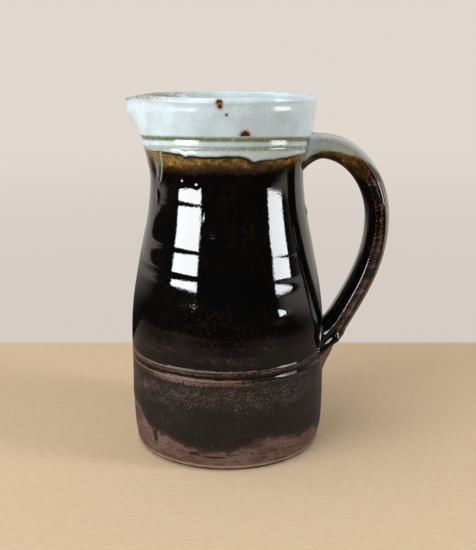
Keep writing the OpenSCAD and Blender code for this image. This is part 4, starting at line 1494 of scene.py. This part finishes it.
def make_world(scene):
    """Plain surround for the camera; for the light, a pale room behind and above and a dim one in front."""
    stage = scene.jug_stage
    world = bpy.data.worlds.new("studio_room")
    scene.world = world
    world.use_nodes = True
    world.node_tree.nodes.clear()
    tree = Tree(world.node_tree)
    across, depth, height = tree.axes(tree.node("TexCoord").outputs["Generated"])
    # The pale side of the room lies behind the jug and a little to its right
    aside = math.radians(13)
    depth = tree.add(tree.times(depth, math.cos(aside)), tree.times(across, math.sin(aside)))
    back = tree.ease(depth, 0.3, 0.95, 0.02, 0.95)
    above = tree.ease(height, 0.35, 0.75, 0.0, stage.room_glow)
    seen = tree.node("LightPath").outputs["Is Camera Ray"]
    strength = tree.larger(seen, tree.larger(back, above))
    background = tree.node("Background", {"Color": stage.backdrop, "Strength": strength}).outputs[0]
    tree.node("OutputWorld", {"Surface": background})


def make_lamp(name, place, aim, wide, high, glow, tint):
    """A soft rectangular lamp of a given radiance that looks at a point."""
    lamp = bpy.data.lights.new(name, "AREA")
    lamp.shape = "RECTANGLE"
    lamp.size = wide
    lamp.size_y = high
    lamp.energy = glow * math.pi * wide * high
    lamp.color = tint
    stand = bpy.data.objects.new(name, lamp)
    stand.location = place
    stand.rotation_euler = (Vector(aim) - Vector(place)).to_track_quat("-Z", "Y").to_euler()
    bpy.context.scene.collection.objects.link(stand)


def make_lamps(stage):
    """Two soft windows, a strip at the right, a skylight and a soft light overhead."""
    daylight, warm_light = (0.94, 0.97, 1.0), (1.0, 0.98, 0.95)
    # Bearing of each window round from the handle, how wide it looks from the jug, its share of the glow
    # and its sill
    windows = (("left_window", -139.3, 36, 1.2, stage.window_low),
               ("right_window", -11, 25, 0.96, stage.window_low - stage.sill_step))
    for name, bearing, spread, share, low in windows:
        middle = (low + stage.window_high) / 2
        tall = stage.window_high - low
        turn = math.radians(bearing)
        spot = (stage.window_far * math.cos(turn), stage.window_far * math.sin(turn), middle)
        wide = 2 * stage.window_far * math.tan(math.radians(spread / 2))
        make_lamp(name, spot, (0, 0, middle), wide, tall, share * stage.window_glow, daylight)
    half_glow = 0.5 * stage.window_glow
    make_lamp("right_strip", (1.5, -0.3, 1.0), (0, 0, 0.2), 0.3, 0.9, half_glow, daylight)
    make_lamp("skylight", (-0.45, -1.22, 0.76), (0.07, 0, 0.07), 0.47, 0.45, half_glow, daylight)
    make_lamp("top_light", (-0.5, -0.1, 1.5), (0, 0, 0), 1.0, 1.0, stage.top_glow, warm_light)


def make_camera(scene):
    """The camera that takes the jug's picture."""
    stage = scene.jug_stage
    lens = bpy.data.cameras.new("jug_camera")
    lens.lens = stage.lens
    lens.clip_start = 10 * MM
    camera = bpy.data.objects.new("jug_camera", lens)
    camera.location = stage.camera_at
    camera.rotation_euler = view_way(stage).to_track_quat("-Z", "Y").to_euler()
    scene.collection.objects.link(camera)
    scene.camera = camera


# Operators and panel

class JUG_OT_stage(Operator):
    """Set up the camera, the lamps, the room and the floor"""
    bl_idname = "jug.stage"
    bl_label = "Set Up Stage"

    def execute(self, context):
        scene = context.scene
        scene.view_settings.view_transform = "Standard"
        make_camera(scene)
        make_world(scene)
        make_lamps(scene.jug_stage)
        make_floor(scene.jug_stage)
        return {"FINISHED"}


class JUG_OT_clay_body(Operator):
    """Throw the clay pot"""
    bl_idname = "jug.clay_body"
    bl_label = "Throw Clay Body"

    def execute(self, context):
        make_clay_body(context.scene)
        return {"FINISHED"}


class JUG_OT_outer_glaze(Operator):
    """Coat the belly and the neck in dark and amber glaze"""
    bl_idname = "jug.outer_glaze"
    bl_label = "Glaze Belly and Neck"

    def execute(self, context):
        make_outer_glaze(context.scene)
        return {"FINISHED"}


class JUG_OT_collar_glaze(Operator):
    """Dip the collar in pale glaze"""
    bl_idname = "jug.collar_glaze"
    bl_label = "Glaze Collar"

    def execute(self, context):
        make_collar_glaze(context.scene)
        return {"FINISHED"}


class JUG_OT_liner_glaze(Operator):
    """Pour the dark glaze round the inside"""
    bl_idname = "jug.liner_glaze"
    bl_label = "Glaze Inside"

    def execute(self, context):
        make_liner_glaze(context.scene)
        return {"FINISHED"}


class JUG_OT_handle(Operator):
    """Pull the strap handle, lute it on and glaze it"""
    bl_idname = "jug.handle"
    bl_label = "Pull Handle"

    def execute(self, context):
        make_handle(context.scene)
        return {"FINISHED"}


GROUPS = {"jug_body": JugBody, "jug_collar": JugCollar, "jug_handle": JugHandle, "jug_glaze": JugGlaze,
          "jug_stage": JugStage}
OPERATORS = (JUG_OT_stage, JUG_OT_clay_body, JUG_OT_outer_glaze, JUG_OT_collar_glaze, JUG_OT_liner_glaze,
             JUG_OT_handle)


class JUG_PT_panel(Panel):
    """Sizes, colours and steps of the jug"""
    bl_idname = "JUG_PT_panel"
    bl_label = "Stoneware Jug"
    bl_space_type = "VIEW_3D"
    bl_region_type = "UI"
    bl_category = "Jug"

    def draw(self, context):
        for operator in OPERATORS:
            self.layout.operator(operator.bl_idname)
        for name, group in GROUPS.items():
            box = self.layout.box()
            box.label(text=group.__doc__)
            settings = getattr(context.scene, name)
            for title in group.__annotations__:
                box.prop(settings, title)


def register():
    for group in (*GROUPS.values(), *OPERATORS, JUG_PT_panel):
        bpy.utils.register_class(group)
    for name, group in GROUPS.items():
        setattr(bpy.types.Scene, name, PointerProperty(type=group))


def unregister():
    for name in GROUPS:
        delattr(bpy.types.Scene, name)
    for group in (JUG_PT_panel, *OPERATORS, *GROUPS.values()):
        bpy.utils.unregister_class(group)


def main():
    register()
    bpy.ops.jug.stage()
    bpy.ops.jug.clay_body()
    bpy.ops.jug.outer_glaze()
    bpy.ops.jug.collar_glaze()
    bpy.ops.jug.liner_glaze()
    bpy.ops.jug.handle()


if __name__ == "__main__":
    main()
